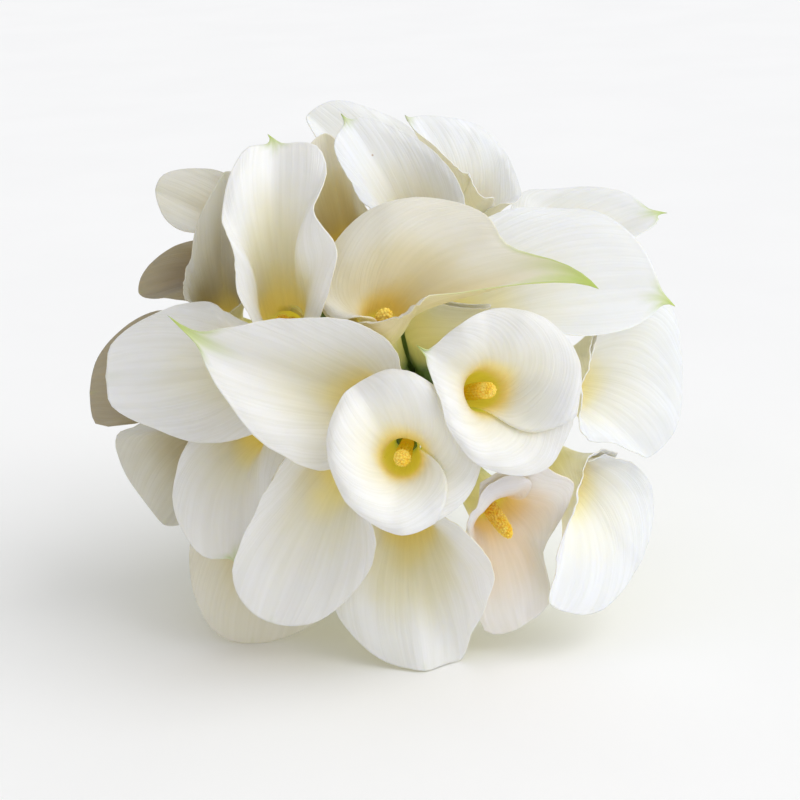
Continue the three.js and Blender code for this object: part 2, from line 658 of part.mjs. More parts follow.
// The inner lobe is pressed clear of the outer one where they lap.
function lapClear(f, G) {
  const middle = (COLUMNS.length - 1) / 2;
  const starts = HALF.findIndex((v) => v >= 0.3);
  const isInner = (b) => (f.lap > 0 ? b >= (middle + starts) * SUB : b <= (middle - starts) * SUB);
  const isOuter = (b) => (f.lap > 0 ? b <= (middle - starts) * SUB : b >= (middle + starts) * SUB);
  for (let sweep = 0; sweep < SWEEPS_LAPS; sweep++) {
    const S = finer(G);
    const N = outward(S);
    const outer = [];
    S.forEach((row, a) => row.forEach((p, b) => isOuter(b) && outer.push([p, N[a][b]])));
    const num = G.map((row) => row.map(() => [0, 0, 0]));
    const den = G.map((row) => row.map(() => 0));
    let worst = 0;
    S.forEach((row, a) =>
      row.forEach((p, b) => {
        if (!isInner(b)) return;
        let best = Infinity;
        let at = null;
        for (const o of outer) {
          const d2 = (p[0] - o[0][0]) ** 2 + (p[1] - o[0][1]) ** 2 + (p[2] - o[0][2]) ** 2;
          if (d2 < best) {
            best = d2;
            at = o;
          }
        }
        const d = -dot(sub(p, at[0]), at[1]);
        if (d >= LAP_CLEAR || d <= -6) return;
        const aside = Math.sqrt(Math.max(best - d * d, 0));
        const push = (LAP_CLEAR - d) * Math.exp(-(Math.max(aside - 2.5, 0) ** 2) / 16);
        if (push <= 0.02) return;
        worst = Math.max(worst, push);
        pushCell(num, den, a, b, at[1], -push);
      }),
    );
    if (worst < 0.05) break;
    G = G.map((row, i) =>
      row.map((p, j) => {
        const d = den[i][j];
        return add(p, num[i][j], Math.min(d / 0.8, 1) / Math.max(d, 1e-6));
      }),
    );
  }
  return G;
}

// Each spathe in turn is bent clear of those in front of it.
function bendClear(flowers) {
  const done = [];
  const free = ROWS.map((r) => clamp((r - 0.5) / 0.5, 0, 1));
  for (const f of flowers) {
    const G = f.sheet();
    let D = G.map((row) => row.map(() => [0, 0, 0]));
    const [lo, hi] = boxOf(G.flat());
    const near = done.filter((o) =>
      [0, 1, 2].every((c) => o.lo[c] < hi[c] + 12 && o.hi[c] > lo[c] - 12),
    );
    const total = () => G.map((row, i) => row.map((p, j) => add(p, D[i][j])));
    for (let sweep = 0; sweep < SWEEPS_BLADES; sweep++) {
      const S = finer(total());
      let worst = 0;
      const num = G.map((row) => row.map(() => [0, 0, 0]));
      const den = G.map((row) => row.map(() => 0));
      S.forEach((row, a) =>
        row.forEach((p, b) => {
          let push = 0;
          let way = null;
          for (const o of near) {
            let best = Infinity;
            let at = 0;
            for (let k = 0; k < o.count; k++) {
              const dx = p[0] - o.q[3 * k];
              const dy = p[1] - o.q[3 * k + 1];
              const dz = p[2] - o.q[3 * k + 2];
              const d2 = dx * dx + dy * dy + dz * dz;
              if (d2 < best) {
                best = d2;
                at = k;
              }
            }
            const n = [o.n[3 * at], o.n[3 * at + 1], o.n[3 * at + 2]];
            const rel = [p[0] - o.q[3 * at], p[1] - o.q[3 * at + 1], p[2] - o.q[3 * at + 2]];
            const d = dot(rel, n);
            if (d >= CLEAR || d <= -REACH_BACK) continue;
            const aside = Math.sqrt(Math.max(best - d * d, 0));
            const need = (CLEAR - d) * Math.exp(-(Math.max(aside - 1.5, 0) ** 2) / 12);
            if (need > push) {
              push = need;
              way = n;
            }
          }
          worst = Math.max(worst, push);
          if (push <= 0.02) return;
          pushCell(num, den, a, b, way, push);
        }),
      );
      if (worst < 0.05) break;
      D = D.map((row, i) =>
        row.map((p, j) => {
          const d = den[i][j];
          return add(p, num[i][j], (free[i] * Math.min(d / 0.8, 1)) / Math.max(d, 1e-6));
        }),
      );
      if (sweep < SWEEPS_BLADES - 3)
        D = eased(D, sweep < SWEEPS_BLADES * 0.6 ? 0.35 : 0.15, free);
    }
    f.bent = lapClear(f, total());
    const S = finer(f.bent);
    const [slo, shi] = boxOf(S.flat());
    done.push({
      q: Float64Array.from(S.flat(2)),
      n: Float64Array.from(outward(S).flat(2)),
      count: S.length * S[0].length,
      lo: slo,
      hi: shi,
    });
  }
}

// Closed solids
class Solid {
  constructor() {
    this.points = [];
    this.faces = [];
  }

  point(p) {
    this.points.push(p);
    return this.points.length - 1;
  }

  ring(points) {
    return points.map((p) => this.point(p));
  }

  // Two rings of equal count joined, the second further along the direction that the first winds round.
  join(a, b) {
    for (let i = 0; i < a.length; i++) {
      const j = (i + 1) % a.length;
      this.faces.push([a[i], a[j], b[j]], [a[i], b[j], b[i]]);
    }
  }

  cap(ring, first) {
    for (let i = 1; i < ring.length - 1; i++)
      this.faces.push(first ? [ring[0], ring[i + 1], ring[i]] : [ring[0], ring[i], ring[i + 1]]);
  }

  fan(ring, top) {
    const t = this.point(top);
    for (let i = 0; i < ring.length; i++) this.faces.push([ring[i], ring[(i + 1) % ring.length], t]);
  }

  geometry() {
    const g = new THREE.BufferGeometry();
    g.setAttribute("position", new THREE.Float32BufferAttribute(this.points.flat(), 3));
    g.setIndex(this.faces.flat());
    return g;
  }
}

// A thick sheet: both faces are split into triangles alike.
function thickSheet(G, thick) {
  const N = outward(G);
  const s = new Solid();
  const rows = G.length;
  const cols = G[0].length;
  const out = G.map((row, i) => row.map((p, j) => s.point(add(p, N[i][j], thick / 2))));
  const inn = G.map((row, i) => row.map((p, j) => s.point(add(p, N[i][j], -thick / 2))));
  for (let i = 0; i < rows - 1; i++)
    for (let j = 0; j < cols - 1; j++) {
      s.faces.push([out[i][j], out[i][j + 1], out[i + 1][j + 1]]);
      s.faces.push([out[i][j], out[i + 1][j + 1], out[i + 1][j]]);
      s.faces.push([inn[i][j], inn[i + 1][j + 1], inn[i][j + 1]]);
      s.faces.push([inn[i][j], inn[i + 1][j], inn[i + 1][j + 1]]);
    }
  const wall = (a, b, c, d) => s.faces.push([a, b, c], [a, c, d]);
  for (let j = 0; j < cols - 1; j++) {
    wall(out[0][j], inn[0][j], inn[0][j + 1], out[0][j + 1]);
    wall(out[rows - 1][j], out[rows - 1][j + 1], inn[rows - 1][j + 1], inn[rows - 1][j]);
  }
  for (let i = 0; i < rows - 1; i++) {
    wall(out[i][0], out[i + 1][0], inn[i + 1][0], inn[i][0]);
    wall(out[i][cols - 1], inn[i][cols - 1], inn[i + 1][cols - 1], out[i + 1][cols - 1]);
  }
  return s;
}

// A round bar along a line of points, its radius given at each.
function bar(points, radii, sides, relief = 0, rounded = false) {
  const s = new Solid();
  const n = points.length;
  let side = null;
  const rings = points.map((p, k) => {
    const along = unit(sub(points[Math.min(k + 1, n - 1)], points[Math.max(k - 1, 0)]));
    const start = side || cross([0.31, 0.95, 0.05], along);
    side = unit(add(start, along, -dot(start, along)));
    const other = cross(along, side);
    const ring = [];
    for (let i = 0; i < sides; i++) {
      const a = (2 * Math.PI * i) / sides;
      const r = radii[k] + ((i + k) % 2 ? relief : -relief);
      ring.push(add(add(p, side, r * Math.cos(a)), other, r * Math.sin(a)));
    }
    return s.ring(ring);
  });
  for (let k = 0; k < n - 1; k++) s.join(rings[k], rings[k + 1]);
  s.cap(rings[0], true);
  if (rounded) {
    const along = unit(sub(points[n - 1], points[n - 2]));
    s.fan(rings[n - 1], add(points[n - 1], along, radii[n - 1] * 0.5));
  } else s.cap(rings[n - 1], false);
  return s;
}

// The bouquet as it lies: +Z up, +X to the right, the flowers towards -Y
function lie([x, y, w]) {
  const roll = rad(ROLL);
  const tilt = rad(TILT);
  const x1 = x * Math.cos(roll) - y * Math.sin(roll);
  const z1 = x * Math.sin(roll) + y * Math.cos(roll);
  return [x1, z1 * Math.sin(tilt) - w * Math.cos(tilt), w * Math.sin(tilt) + z1 * Math.cos(tilt)];
}

const wasm = await Module();
wasm.setup();

function toManifold(solid) {
  const merged = mergeVertices(solid.geometry(), 1e-4);
  return new wasm.Manifold(
    new wasm.Mesh({
      numProp: 3,
      vertProperties: merged.attributes.position.array,
      triVerts: new Uint32Array(merged.index.array),
    }),
  );
}

function fromManifold(made) {
  const m = made.getMesh();
  const g = new THREE.BufferGeometry();
  const xyz = [];
  for (let i = 0; i < m.numVert; i++)
    xyz.push(
      m.vertProperties[i * m.numProp],
      m.vertProperties[i * m.numProp + 1],
      m.vertProperties[i * m.numProp + 2],
    );
  g.setAttribute("position", new THREE.Float32BufferAttribute(xyz, 3));
  g.setIndex(Array.from(m.triVerts));
  return g;
}

// Build
const flowers = FLOWERS.map((spec) => new Calla(spec));
const places = assignPlaces(flowers);
settleStems(flowers, places);
bendClear(flowers);
const groups = groupStems(places);

const pieces = [];
const piece = (name, solid, colour, roughness) => pieces.push({ name, solid, colour, roughness });

for (const f of flowers) {
  piece(`spathe_${f.name}`, thickSheet(f.bent, THICK), WHITE, 0.55);

  const line = [f.inTube(-1 + SPIGOT_SHARE, FIT), f.inTube(-0.5), f.inTube(0)];
  line.push(add(f.centre, f.axis, f.spadix * 0.4));
  line.push(add(f.centre, f.axis, f.spadix * 0.75));
  line.push(add(f.centre, f.axis, f.spadix * 0.94));
  const radii = [0.96, 1, 1, 1, 0.9, 0.6].map((r) => r * SPADIX_RADIUS);
  piece(`spadix_${f.name}`, bar(line, radii, 8, SPADIX_RELIEF, true), YELLOW, 0.7);
}

// Where the stems of one group stand once they are pressed together.
function pressed(group) {
  const mean = [0, 1].map((c) => group.reduce((sum, i) => sum + places[i][c], 0) / group.length);
  return group.map((i) => places[i].map((v, c) => mean[c] + (v - mean[c]) * PRESSED));
}

groups.forEach((group, g) => {
  const stood = pressed(group);
  let made = null;
  group.forEach((i, k) => {
    const f = flowers[i];
    const place = stood[k];
    const line = [];
    const radii = [];
    const [shoulder, up] = f.spine(-1);
    const longest = places[i][1] < -2.2 * PITCH;
    line.push([place[0], place[1], STEM_END_W + (longest ? 0 : END_STEP * (1 + ((i * 5) % 3)))]);
    radii.push(STEM_RADIUS);
    line.push([place[0], place[1], BIND_W - 6]);
    radii.push(STEM_RADIUS);
    const path = f.stemPath.slice().reverse();
    for (let n = 1; n < path.length - 1; n += 3) {
      const share = smooth(1 - n / 4);
      line.push([
        path[n][0] + (place[0] - places[i][0]) * share,
        path[n][1] + (place[1] - places[i][1]) * share,
        path[n][2],
      ]);
      radii.push(STEM_RADIUS);
    }
    line.push(add(shoulder, up, -FIT - 0.6));
    radii.push(STEM_RADIUS);
    line.push(add(shoulder, up, -FIT));
    radii.push(SPIGOT_RADIUS);
    line.push(f.inTube(-1 + SPIGOT_SHARE));
    radii.push(SPIGOT_RADIUS);
    const stem = toManifold(bar(line, radii, 8));
    made = made ? made.add(stem) : stem;
  });
  piece(`stems_${g + 1}`, made, GREEN, 0.6);
});

// The ribbon: a satin strip wound down the stems, each turn lapping the one above.
function ribbon() {
  const spots = groups.flatMap(pressed);
  const supports = [];
  for (let k = 0; k < SUPPORTS; k++) {
    const a = (2 * Math.PI * k) / SUPPORTS;
    const out = Math.max(...spots.map((p) => p[0] * Math.cos(a) + p[1] * Math.sin(a)));
    supports.push([a, out + STEM_RADIUS]);
  }
  const reach = (a) =>
    Math.min(...supports.map(([b, h]) => (Math.cos(b - a) > 0.25 ? h / Math.cos(b - a) : Infinity)));
  const steps = Math.round(RIBBON_TURNS * RIBBON_STEPS);
  const drop = (RIBBON_FROM_W - RIBBON_TO_W - RIBBON_WIDTH) / RIBBON_TURNS;
  const strip = [];
  for (let k = 0; k <= steps; k++) {
    const a = (2 * Math.PI * k) / RIBBON_STEPS;
    const top = RIBBON_FROM_W - (drop * k) / RIBBON_STEPS;
    const half = Math.PI / RIBBON_STEPS;
    const low = Math.max(reach(a - half), reach(a), reach(a + half)) / Math.cos(half) + FIT + 0.3;
    strip.push(
      [0, 1].map((c) => {
        const r = low + RIBBON_THICK / 2 + RIBBON_LIFT * c;
        return [r * Math.cos(a), r * Math.sin(a), top - RIBBON_WIDTH * (1 - c)];
      }),
    );
  }
  return thickSheet(strip, RIBBON_THICK);
}
piece("ribbon", ribbon(), SATIN, 0.35);

const bouquet = new THREE.Group();
const corners = [];
const shapes = pieces.map(({ name, solid, colour, roughness }) => {
  const g = solid instanceof Solid ? solid.geometry() : fromManifold(solid);
  const p = g.attributes.position;
  for (let i = 0; i < p.count; i++) {
    const [x, y, z] = lie([p.getX(i), p.getY(i), p.getZ(i)]);
    p.setXYZ(i, x, y, z);
  }
  g.computeBoundingBox();
  corners.push(g.boundingBox.min.toArray(), g.boundingBox.max.toArray());
  return [name, g, colour, roughness];
});
const [low, high] = boxOf(corners);
for (const [name, g, colour, roughness] of shapes) {
  g.translate(-(low[0] + high[0]) / 2, -(low[1] + high[1]) / 2, -low[2]);
  g.computeVertexNormals();
  const mesh = new THREE.Mesh(
    g,
    new THREE.MeshStandardMaterial({ color: colour, roughness, metalness: 0 }),
  );
  mesh.name = name;
  bouquet.add(mesh);
}

export default bouquet;
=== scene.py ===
"""The looks of a hand-tied bridal bouquet of twenty-four white calla lilies on a pale surface.

The flowers are laid out in the bouquet's own frame: x to the right, y up and w towards
someone who looks into the flowers, all in millimetres. `lie` turns that frame into the
lying model's frame, in metres, where +Z is up and the flowers point towards -Y.
"""
import functools
import logging
import math
from dataclasses import dataclass, field
from enum import Enum

import bpy
import numpy as np
from mathutils import Matrix


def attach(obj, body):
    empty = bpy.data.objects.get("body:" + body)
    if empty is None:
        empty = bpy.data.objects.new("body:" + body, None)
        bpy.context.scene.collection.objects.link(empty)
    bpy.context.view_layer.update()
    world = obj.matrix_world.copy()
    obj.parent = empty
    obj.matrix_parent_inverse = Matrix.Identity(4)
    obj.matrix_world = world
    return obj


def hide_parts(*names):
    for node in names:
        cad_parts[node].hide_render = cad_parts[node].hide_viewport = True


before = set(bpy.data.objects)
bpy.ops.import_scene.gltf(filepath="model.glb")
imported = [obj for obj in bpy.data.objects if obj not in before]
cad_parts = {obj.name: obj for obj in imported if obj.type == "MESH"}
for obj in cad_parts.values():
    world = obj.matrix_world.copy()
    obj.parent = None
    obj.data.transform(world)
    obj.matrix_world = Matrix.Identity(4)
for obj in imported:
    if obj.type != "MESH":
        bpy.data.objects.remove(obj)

log = logging.getLogger("bouquet")
Array = np.ndarray
Colour = tuple[float, float, float]
Spot = tuple[float, float, float]
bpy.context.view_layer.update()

# Millimetres in a metre, and how low a sheet may lie, in metres.
MM = 1000.0
LOWEST = 0.0004

# Sizes in millimetres, angles in degrees and how the bouquet lies, as the solids have them.
SIGHT = 750.0
BASE_RADIUS = 5.9
TUBE_SLOPE = 8.0
TUBE_FLARE = (0.35, 0.65)
TUBE_ROOM = 1.55
LAP_GAP = 1.8
LAP_CLEAR = 1.7
THROAT = 9.5
CLEAR = 2.3
REACH_BACK = 26.0
STEM_RADIUS = 4.8
STEM_ROOM = 0.2
FOOT_ROOM = 0.8
SPIGOT_RADIUS = 3.8
SPIGOT_SHARE = 0.14
FIT = 0.3
SPADIX_RADIUS = 3.75
PITCH = 10.1
PRESSED = 0.86
GROUP = 3
BIND_W = -178.0
STEM_END_W = -326.0
END_STEP = 3.0
RIBBON_FROM_W = -186.0
RIBBON_TO_W = -250.0
RIBBON_WIDTH = 24.0
RIBBON_TURNS = 2.75
RIBBON_THICK = 0.8
RIBBON_LIFT = 2.2
RIBBON_STEPS = 18
SUPPORTS = 120
ROLL = math.radians(-2.44)
TILT = math.radians(18.47)
PLACED = np.array([7.693, -147.022, 130.833])

# How the sheets grow: their curves, their tips, and how many waves of which strength.
ARC_SHARE = 1.08
POINT_FALL = 1.4
TAIL_WIDTH = 0.025
SWEEP_BACK = 0.67
LAP_FROM = math.radians(50)
LAP_OVER = math.radians(45)
WAVES = ((3, 0.8), (5, 1.0), (8, 0.7), (13, 0.35), (21, 0.26), (29, 0.2))
KNOTS_APART = 0.08
SLOPE_LIMIT = (2.2, 4)
ROLLED_FROM, ROLLED_OVER = 0.86, 0.14
ROLLED_ASIDE = 0.4
KEEL_HEIGHT = 0.5
KEEL_WIDTH = 0.09
KEEL_GROWTH = 1.5
WAVE_GROWTH = 2.2

# How the flowers are set clear of each other: steps along a line, sweeps, and what is near enough.
TUBE_STEPS = 8
STEM_STEPS = 10
SWEEPS_STEMS = 260
SWEEPS_BLADES = 14
SWEEPS_LAPS = 14
LAST_SWEEPS = 20
MOVE_SHARE = 0.6
EASE = 0.30
EASE_LAST = 0.05
NEIGHBOUR_ROOM = 12
ENOUGH = 0.05


class Tone(Enum):
    """The shades of white that the spathes have, in order from the flowers on the light side to those on
    the shaded side. The last two are painted shade: greys that stand for the shade on the flowers at the
    bouquet's left.
    """

    SNOW = "snow"
    IVORY = "ivory"
    PEARL = "pearl"
    CREAM = "cream"
    BLUSH = "blush"
    # Painted shade: greys that stand for the shade on the flowers at the bouquet's left.
    PAINTED_HALF_SHADE = "painted_half_shade"
    PAINTED_SHADE = "shade"


def smooth(x: Array | float) -> Array:
    """An even ease from 0 to 1."""
    x = np.clip(x, 0.0, 1.0)
    return x * x * (3 - 2 * x)


def unit(v: Array) -> Array:
    """Vectors of length 1 along the last axis."""
    return v / np.maximum(np.linalg.norm(v, axis=-1, keepdims=True), 1e-9)


def wrapped(angle: Array) -> Array:
    """Angles brought between minus and plus half a turn."""
    return (angle + math.pi) % (2 * math.pi) - math.pi


def sighted(x: float, y: float, w: float) -> Array:
    """A place given as it is seen on the plane w = 0, moved along its line of sight to w."""
    share = (SIGHT - w) / SIGHT
    return np.array([x * share, y * share, w], float)


def lie(points: Array) -> Array:
    """Turns places of the bouquet's own frame into the lying model's frame.

    Args:
        points: places in millimetres, x, y and w along the last axis.

    Returns:
        The same places in metres, +Z up.
    """
    x, y, w = points[..., 0], points[..., 1], points[..., 2]
    across = x * math.cos(ROLL) - y * math.sin(ROLL)
    rise = x * math.sin(ROLL) + y * math.cos(ROLL)
    back = rise * math.sin(TILT) - w * math.cos(TILT)
    up = w * math.sin(TILT) + rise * math.cos(TILT)
    return (np.stack([across, back, up], -1) + PLACED) / MM


def laid_way(direction: Spot) -> Array:
    """A direction of the bouquet's own frame, as it lies."""
    return unit(lie(np.array(direction, float)) - lie(np.zeros(3)))


def cubic(s: Array) -> tuple[Array, Array, Array, Array]:
    """A smooth cubic's weights for its two ends and for its slopes there.

    Args:
        s: places from 0, the first end, to 1.

    Returns:
        The weights of the first end, the second end, the first slope and the second slope.
    """
    first, second = 2 * s**3 - 3 * s**2 + 1, 3 * s**2 - 2 * s**3
    return first, second, s**3 - 2 * s**2 + s, s**3 - s**2


def carried(places: Array, knots: Array) -> Array:
    """Weights that carry values at knots to other places along smooth cubics.

    Args:
        places: where the values are wanted.
        knots: where they are given, in rising order.

    Returns:
        One row of weights for each place.
    """
    last = len(knots) - 1
    cell = np.clip(np.searchsorted(knots, places, side="right") - 1, 0, last - 1)
    width = knots[cell + 1] - knots[cell]
    first, second, *leans = cubic((places - knots[cell]) / width)
    weights = np.zeros((len(places), last + 1))
    rows = np.arange(len(places))
    np.add.at(weights, (rows, cell), first)
    np.add.at(weights, (rows, cell + 1), second)
    for step, lean in enumerate(leans):
        before = np.maximum(cell + step - 1, 0)
        after = np.minimum(cell + step + 1, last)
        share = lean * width / (knots[after] - knots[before])
        np.add.at(weights, (rows, after), share)
        np.add.at(weights, (rows, before), -share)
    return weights


@dataclass
class Calla:
    """One flower: its spathe is a sheet rolled round a bent tube.

    A place on the sheet has v, from -1 to 1 across the sheet with 0 down its middle, and a
    rise, 0 at the tube's foot, 1 at the throat and 2 at the margin.

    The throat stands at `at`, and the axis leans from w by the first angle of `lean` towards
    the second. `rim` is the margin's line from its tip. `curl` turns the margin back at the
    tip, left, front and right, and `over` is how far each lobe laps past the front, low down
    and at the margin. `point`, `width`, `tail`, `hook` and `sweep` shape the tip.
    """

    name: str
    tone: Tone
    at: Spot
    lean: tuple[float, float]
    rim: tuple
    curl: tuple[float, float, float, float] = (20, 30, 10, 30)
    point: float = 10.0
    width: float = 0.35
    tail: float = 0.0
    hook: float = 20.0
    sweep: float = 0.0
    throat: float = THROAT
    foot: Spot = (0, 0, -100)
    lap: int = 1
    over: tuple[float, float, float, float] = (70, 12, 70, 12)
    spadix: float = 12.0
    swell: tuple[float, float] = (0.42, 0.34)
    ripple: float = 0.7
    roll: float = 0.9
    path: Array | None = None
    stem_path: Array | None = None
    shift: Array | None = None
    waves: list = field(default_factory=list)

    def __post_init__(self) -> None:
        """Finds the flower's own axes, its margin's knots and its margin's small waves."""
        self.centre = sighted(*self.at)
        lean, clock = np.radians(self.lean)
        sine = math.sin(lean)
        self.axis = np.array([sine * math.cos(clock), sine * math.sin(clock), math.cos(lean)])
        points = np.array([sighted(*p) for p in self.rim]) - self.centre
        self.tipward = unit(points[0] - self.axis * (points[0] @ self.axis))
        self.leftward = np.cross(self.axis, self.tipward)
        x, y, z = points @ self.tipward, points @ self.leftward, points @ self.axis
        angle = np.arctan2(y, x)
        angle[0] = 0.0
        radius = np.hypot(x, y)
        long = math.hypot(radius[0] - self.throat, z[0])
        share = max(0.3, 1 - self.point / long)
        radius[0] = self.throat + (radius[0] - self.throat) * share
        z[0] *= share
        order = np.argsort(angle)
        angle, radius, z = angle[order], radius[order], z[order]
        keep = np.concatenate([[True], np.diff(angle) > KNOTS_APART]) | (angle == 0)
        knots = np.stack([angle[keep], radius[keep], z[keep]], 1)
        turn = np.array([2 * math.pi, 0, 0])
        self.knots = np.concatenate([knots[-2:] - turn, knots, knots[:2] + turn])
        chance = np.random.default_rng(ord(self.name) * 7 + 3)
        for count, share in WAVES:
            phase = chance.uniform(0, 2 * math.pi)
            self.waves.append((count, share * chance.uniform(0.6, 1.1), phase))

    def margin(self, angle: Array) -> list[Array]:
        """Follows the margin's knots round the throat.

        Args:
            angle: angles round the throat.

        Returns:
            The margin's radius and its height at each angle.
        """
        knots = self.knots
        last = len(knots) - 1
        t = wrapped(angle)
        i = np.clip(np.searchsorted(knots[:, 0], t, side="right") - 1, 1, last - 2)
        far = np.minimum(i + 2, last)
        x0, x1 = knots[i, 0], knots[i + 1, 0]
        first, second, lean0, lean1 = cubic((t - x0) / (x1 - x0))
        steep, spare = SLOPE_LIMIT
        out = []
        for column in (1, 2):
            y0, y1 = knots[i, column], knots[i + 1, column]
            limit = steep * np.abs((y1 - y0) / (x1 - x0)) + spare
            m0 = (y1 - knots[i - 1, column]) / (x1 - knots[i - 1, 0])
            m1 = (knots[far, column] - y0) / (knots[far, 0] - x0)
            slope = lean0 * np.clip(m0, -limit, limit) + lean1 * np.clip(m1, -limit, limit)
            out.append(first * y0 + second * y1 + slope * (x1 - x0))
        return out

    def around(self, four: tuple, angle: Array) -> Array:
        """Eases a value round the throat.

        Args:
            four: the value at the tip, left, front and right.
            angle: angles round the throat.

        Returns:
            The value at each angle.
        """
        values = np.asarray(four, float)
        quarter = (angle / (math.pi / 2)) % 4
        i = np.floor(quarter).astype(int) % 4
        return values[i] + (values[(i + 1) % 4] - values[i]) * smooth(quarter - np.floor(quarter))

    def angle(self, v: Array, rise: Array) -> Array:
        """Finds the angle round the throat of a place on the sheet.

        Args:
            v: places across the sheet.
            rise: places up the sheet.

        Returns:
            The angles, past half a turn where the lobes lap.
        """
        left_low, left_high, right_low, right_high = np.radians(self.over)
        q = np.clip(rise - 1, 0, 1)
        left = math.pi + left_low + (left_high - left_low) * q
        right = math.pi + right_low + (right_high - right_low) * q
        return np.where(v > 0, v * left, v * right)

    def tube_radius(self, up: Array) -> Array:
        """The tube's radius, up from 0 at its foot to 1 at the throat."""
        straight, flared = TUBE_FLARE
        return BASE_RADIUS + (self.throat - BASE_RADIUS) * (straight * up + flared * up**2)

    def local(self, v: Array, rise: Array) -> tuple[Array, Array]:
        """Places in the flower's own axes: tipward, leftward and along the axis.

        Args:
            v: places across the sheet.
            rise: places up the sheet.

        Returns:
            The places, where the third number is the place along the tube below the
            throat, and whether each lies in the tube.
        """
        v, rise = np.broadcast_arrays(np.asarray(v, float), np.asarray(rise, float))
        th = self.angle(v, rise)
        q = np.clip(rise - 1, 0, 1)
        away = np.abs(wrapped(th))
        slope = math.radians(TUBE_SLOPE)
        r, z, phi, aside = self.blade(th, q, away, slope)
        inside = rise < 1
        up = np.clip(rise, 0, 1)
        r = np.where(inside, self.tube_radius(up), r)
        z = np.where(inside, up - 1.0, z)
        phi = np.where(inside, slope, phi)
        lapped = smooth((np.abs(th) - LAP_FROM) / LAP_OVER)
        off = 0.5 * LAP_GAP * self.lap * np.sign(v) * lapped + self.relief(th, q, away)
        r = r - np.cos(phi) * off
        z = np.where(inside, z, z + np.sin(phi) * off)
        side = r * np.sin(th) + np.where(inside, 0, aside)
        return np.stack([r * np.cos(th), side, z], -1), inside

    def blade(self, th: Array, q: Array, away: Array, slope: float) -> tuple:
        """Draws the blade's curves from the throat to the margin and on into the tip.

        Args:
            th: angles round the throat.
            q: places from 0, the throat, to 1, the margin.
            away: how far each angle is from the tip's.
            slope: the tube's slope at the throat.

        Returns:
            The radius, the height, the direction and how far the tip is swept aside.
        """
        outer, high = self.margin(th)
        chord = np.hypot(outer - self.throat, high)
        end = np.arctan2(outer - self.throat, high) + np.radians(self.around(self.curl, th))
        k0, k1 = self.swell
        ar = self.throat + math.sin(slope) * chord * k0
        az = math.cos(slope) * chord * k0
        br = outer - np.sin(end) * chord * k1
        bz = high - np.cos(end) * chord * k1
        peak = self.point * np.exp(-((away / self.width) ** POINT_FALL))
        tail = self.tail * np.exp(-away / TAIL_WIDTH)
        length = ARC_SHARE * chord
        s = q * (length + peak) + tail * smooth((q - 0.7) / 0.3)
        t = np.clip(s / length, 0, 1)
        u = 1 - t
        r = u**3 * self.throat + 3 * t * u**2 * ar + 3 * t**2 * u * br + t**3 * outer
        z = 3 * t * u**2 * az + 3 * t**2 * u * bz + t**3 * high
        dr = u**2 * (ar - self.throat) + 2 * t * u * (br - ar) + t**2 * (outer - br)
        dz = u**2 * az + 2 * t * u * (bz - az) + t**2 * (high - bz)
        past = np.maximum(s - length, 0)
        bend = math.radians(self.hook) * np.clip((past - peak) / np.maximum(tail, 1.0), 0, 1)
        reach = self.point + self.tail
        share = past / reach
        ahead = past - SWEEP_BACK * self.sweep**2 * share**3 / reach
        r = r + np.sin(end + 0.5 * bend) * ahead
        z = z + np.cos(end + 0.5 * bend) * ahead
        return r, z, np.arctan2(dr, dz), self.sweep * share**2

    def relief(self, th: Array, q: Array, away: Array) -> Array:
        """Adds small waves, the rolled margin and the tip's keel.

        Args:
            th: angles round the throat.
            q: places from 0, the throat, to 1, the margin.
            away: how far each angle is from the tip's.

        Returns:
            How far the sheet stands inwards.
        """
        wave = sum(share * np.sin(count * th + phase) for count, share, phase in self.waves)
        near_margin = smooth((q - ROLLED_FROM) / ROLLED_OVER) ** 2
        rolled = self.roll * near_margin * smooth(away / ROLLED_ASIDE)
        keel = KEEL_HEIGHT * np.exp(-((away / KEEL_WIDTH) ** 2)) * q**KEEL_GROWTH
        return self.ripple * wave * q**WAVE_GROWTH - rolled - keel

    def spine(self, u: Array) -> tuple[Array, Array]:
        """Follows the tube's bent path.

        Args:
            u: places along it, from -1, the foot, to 0, the throat.

        Returns:
            The places in the bouquet's own frame and the path's directions there.
        """
        path = self.path
        last = len(path) - 1
        x = np.clip((np.asarray(u, float) + 1) * last, 0, last)
        i = np.clip(np.floor(x).astype(int), 0, last - 1)
        s = (x - i)[..., None]
        m0 = (path[i + 1] - path[np.maximum(i - 1, 0)]) / 2
        m1 = (path[np.minimum(i + 2, last)] - path[i]) / 2
        first, second, lean0, lean1 = cubic(s)
        place = first * path[i] + second * path[i + 1]
        place = place + lean0 * m0 + lean1 * m1
        along = (6 * s**2 - 6 * s) * (path[i] - path[i + 1])
        along = along + (3 * s**2 - 4 * s + 1) * m0 + (3 * s**2 - 2 * s) * m1
        return place, unit(along)

    def surface(self, v: Array, rise: Array) -> Array:
        """The sheet as it grows, before its neighbours press on it.

        Args:
            v: places across the sheet, one for each column.
            rise: places up the sheet, one for each row.

        Returns:
            A grid of places in the bouquet's own frame.
        """
        points, inside = self.local(v[None, :], rise[:, None])
        height = points[..., 2]
        place, along = self.spine(np.where(inside, height, 0.0))
        along = np.where(inside[..., None], along, self.axis)
        pivot = np.cross(np.broadcast_to(self.axis, along.shape), along)
        sine = np.linalg.norm(pivot, axis=-1, keepdims=True)
        cosine = (along @ self.axis)[..., None]
        pivot = pivot / np.maximum(sine, 1e-9)

        def turned(way: Array) -> Array:
            """Turns a direction with the tube.

            Args:
                way: a direction of the flower's own axes.

            Returns:
                The direction at each place of the sheet.
            """
            way = np.broadcast_to(way, along.shape)
            twist = pivot * (pivot * way).sum(-1, keepdims=True) * (1 - cosine)
            return way * cosine + np.cross(pivot, way) * sine + twist

        place = np.where(inside[..., None], place, self.centre)
        out = place + turned(self.tipward) * points[..., 0:1] + turned(self.leftward) * points[..., 1:2]
        return out + np.where(inside, 0, height)[..., None] * self.axis

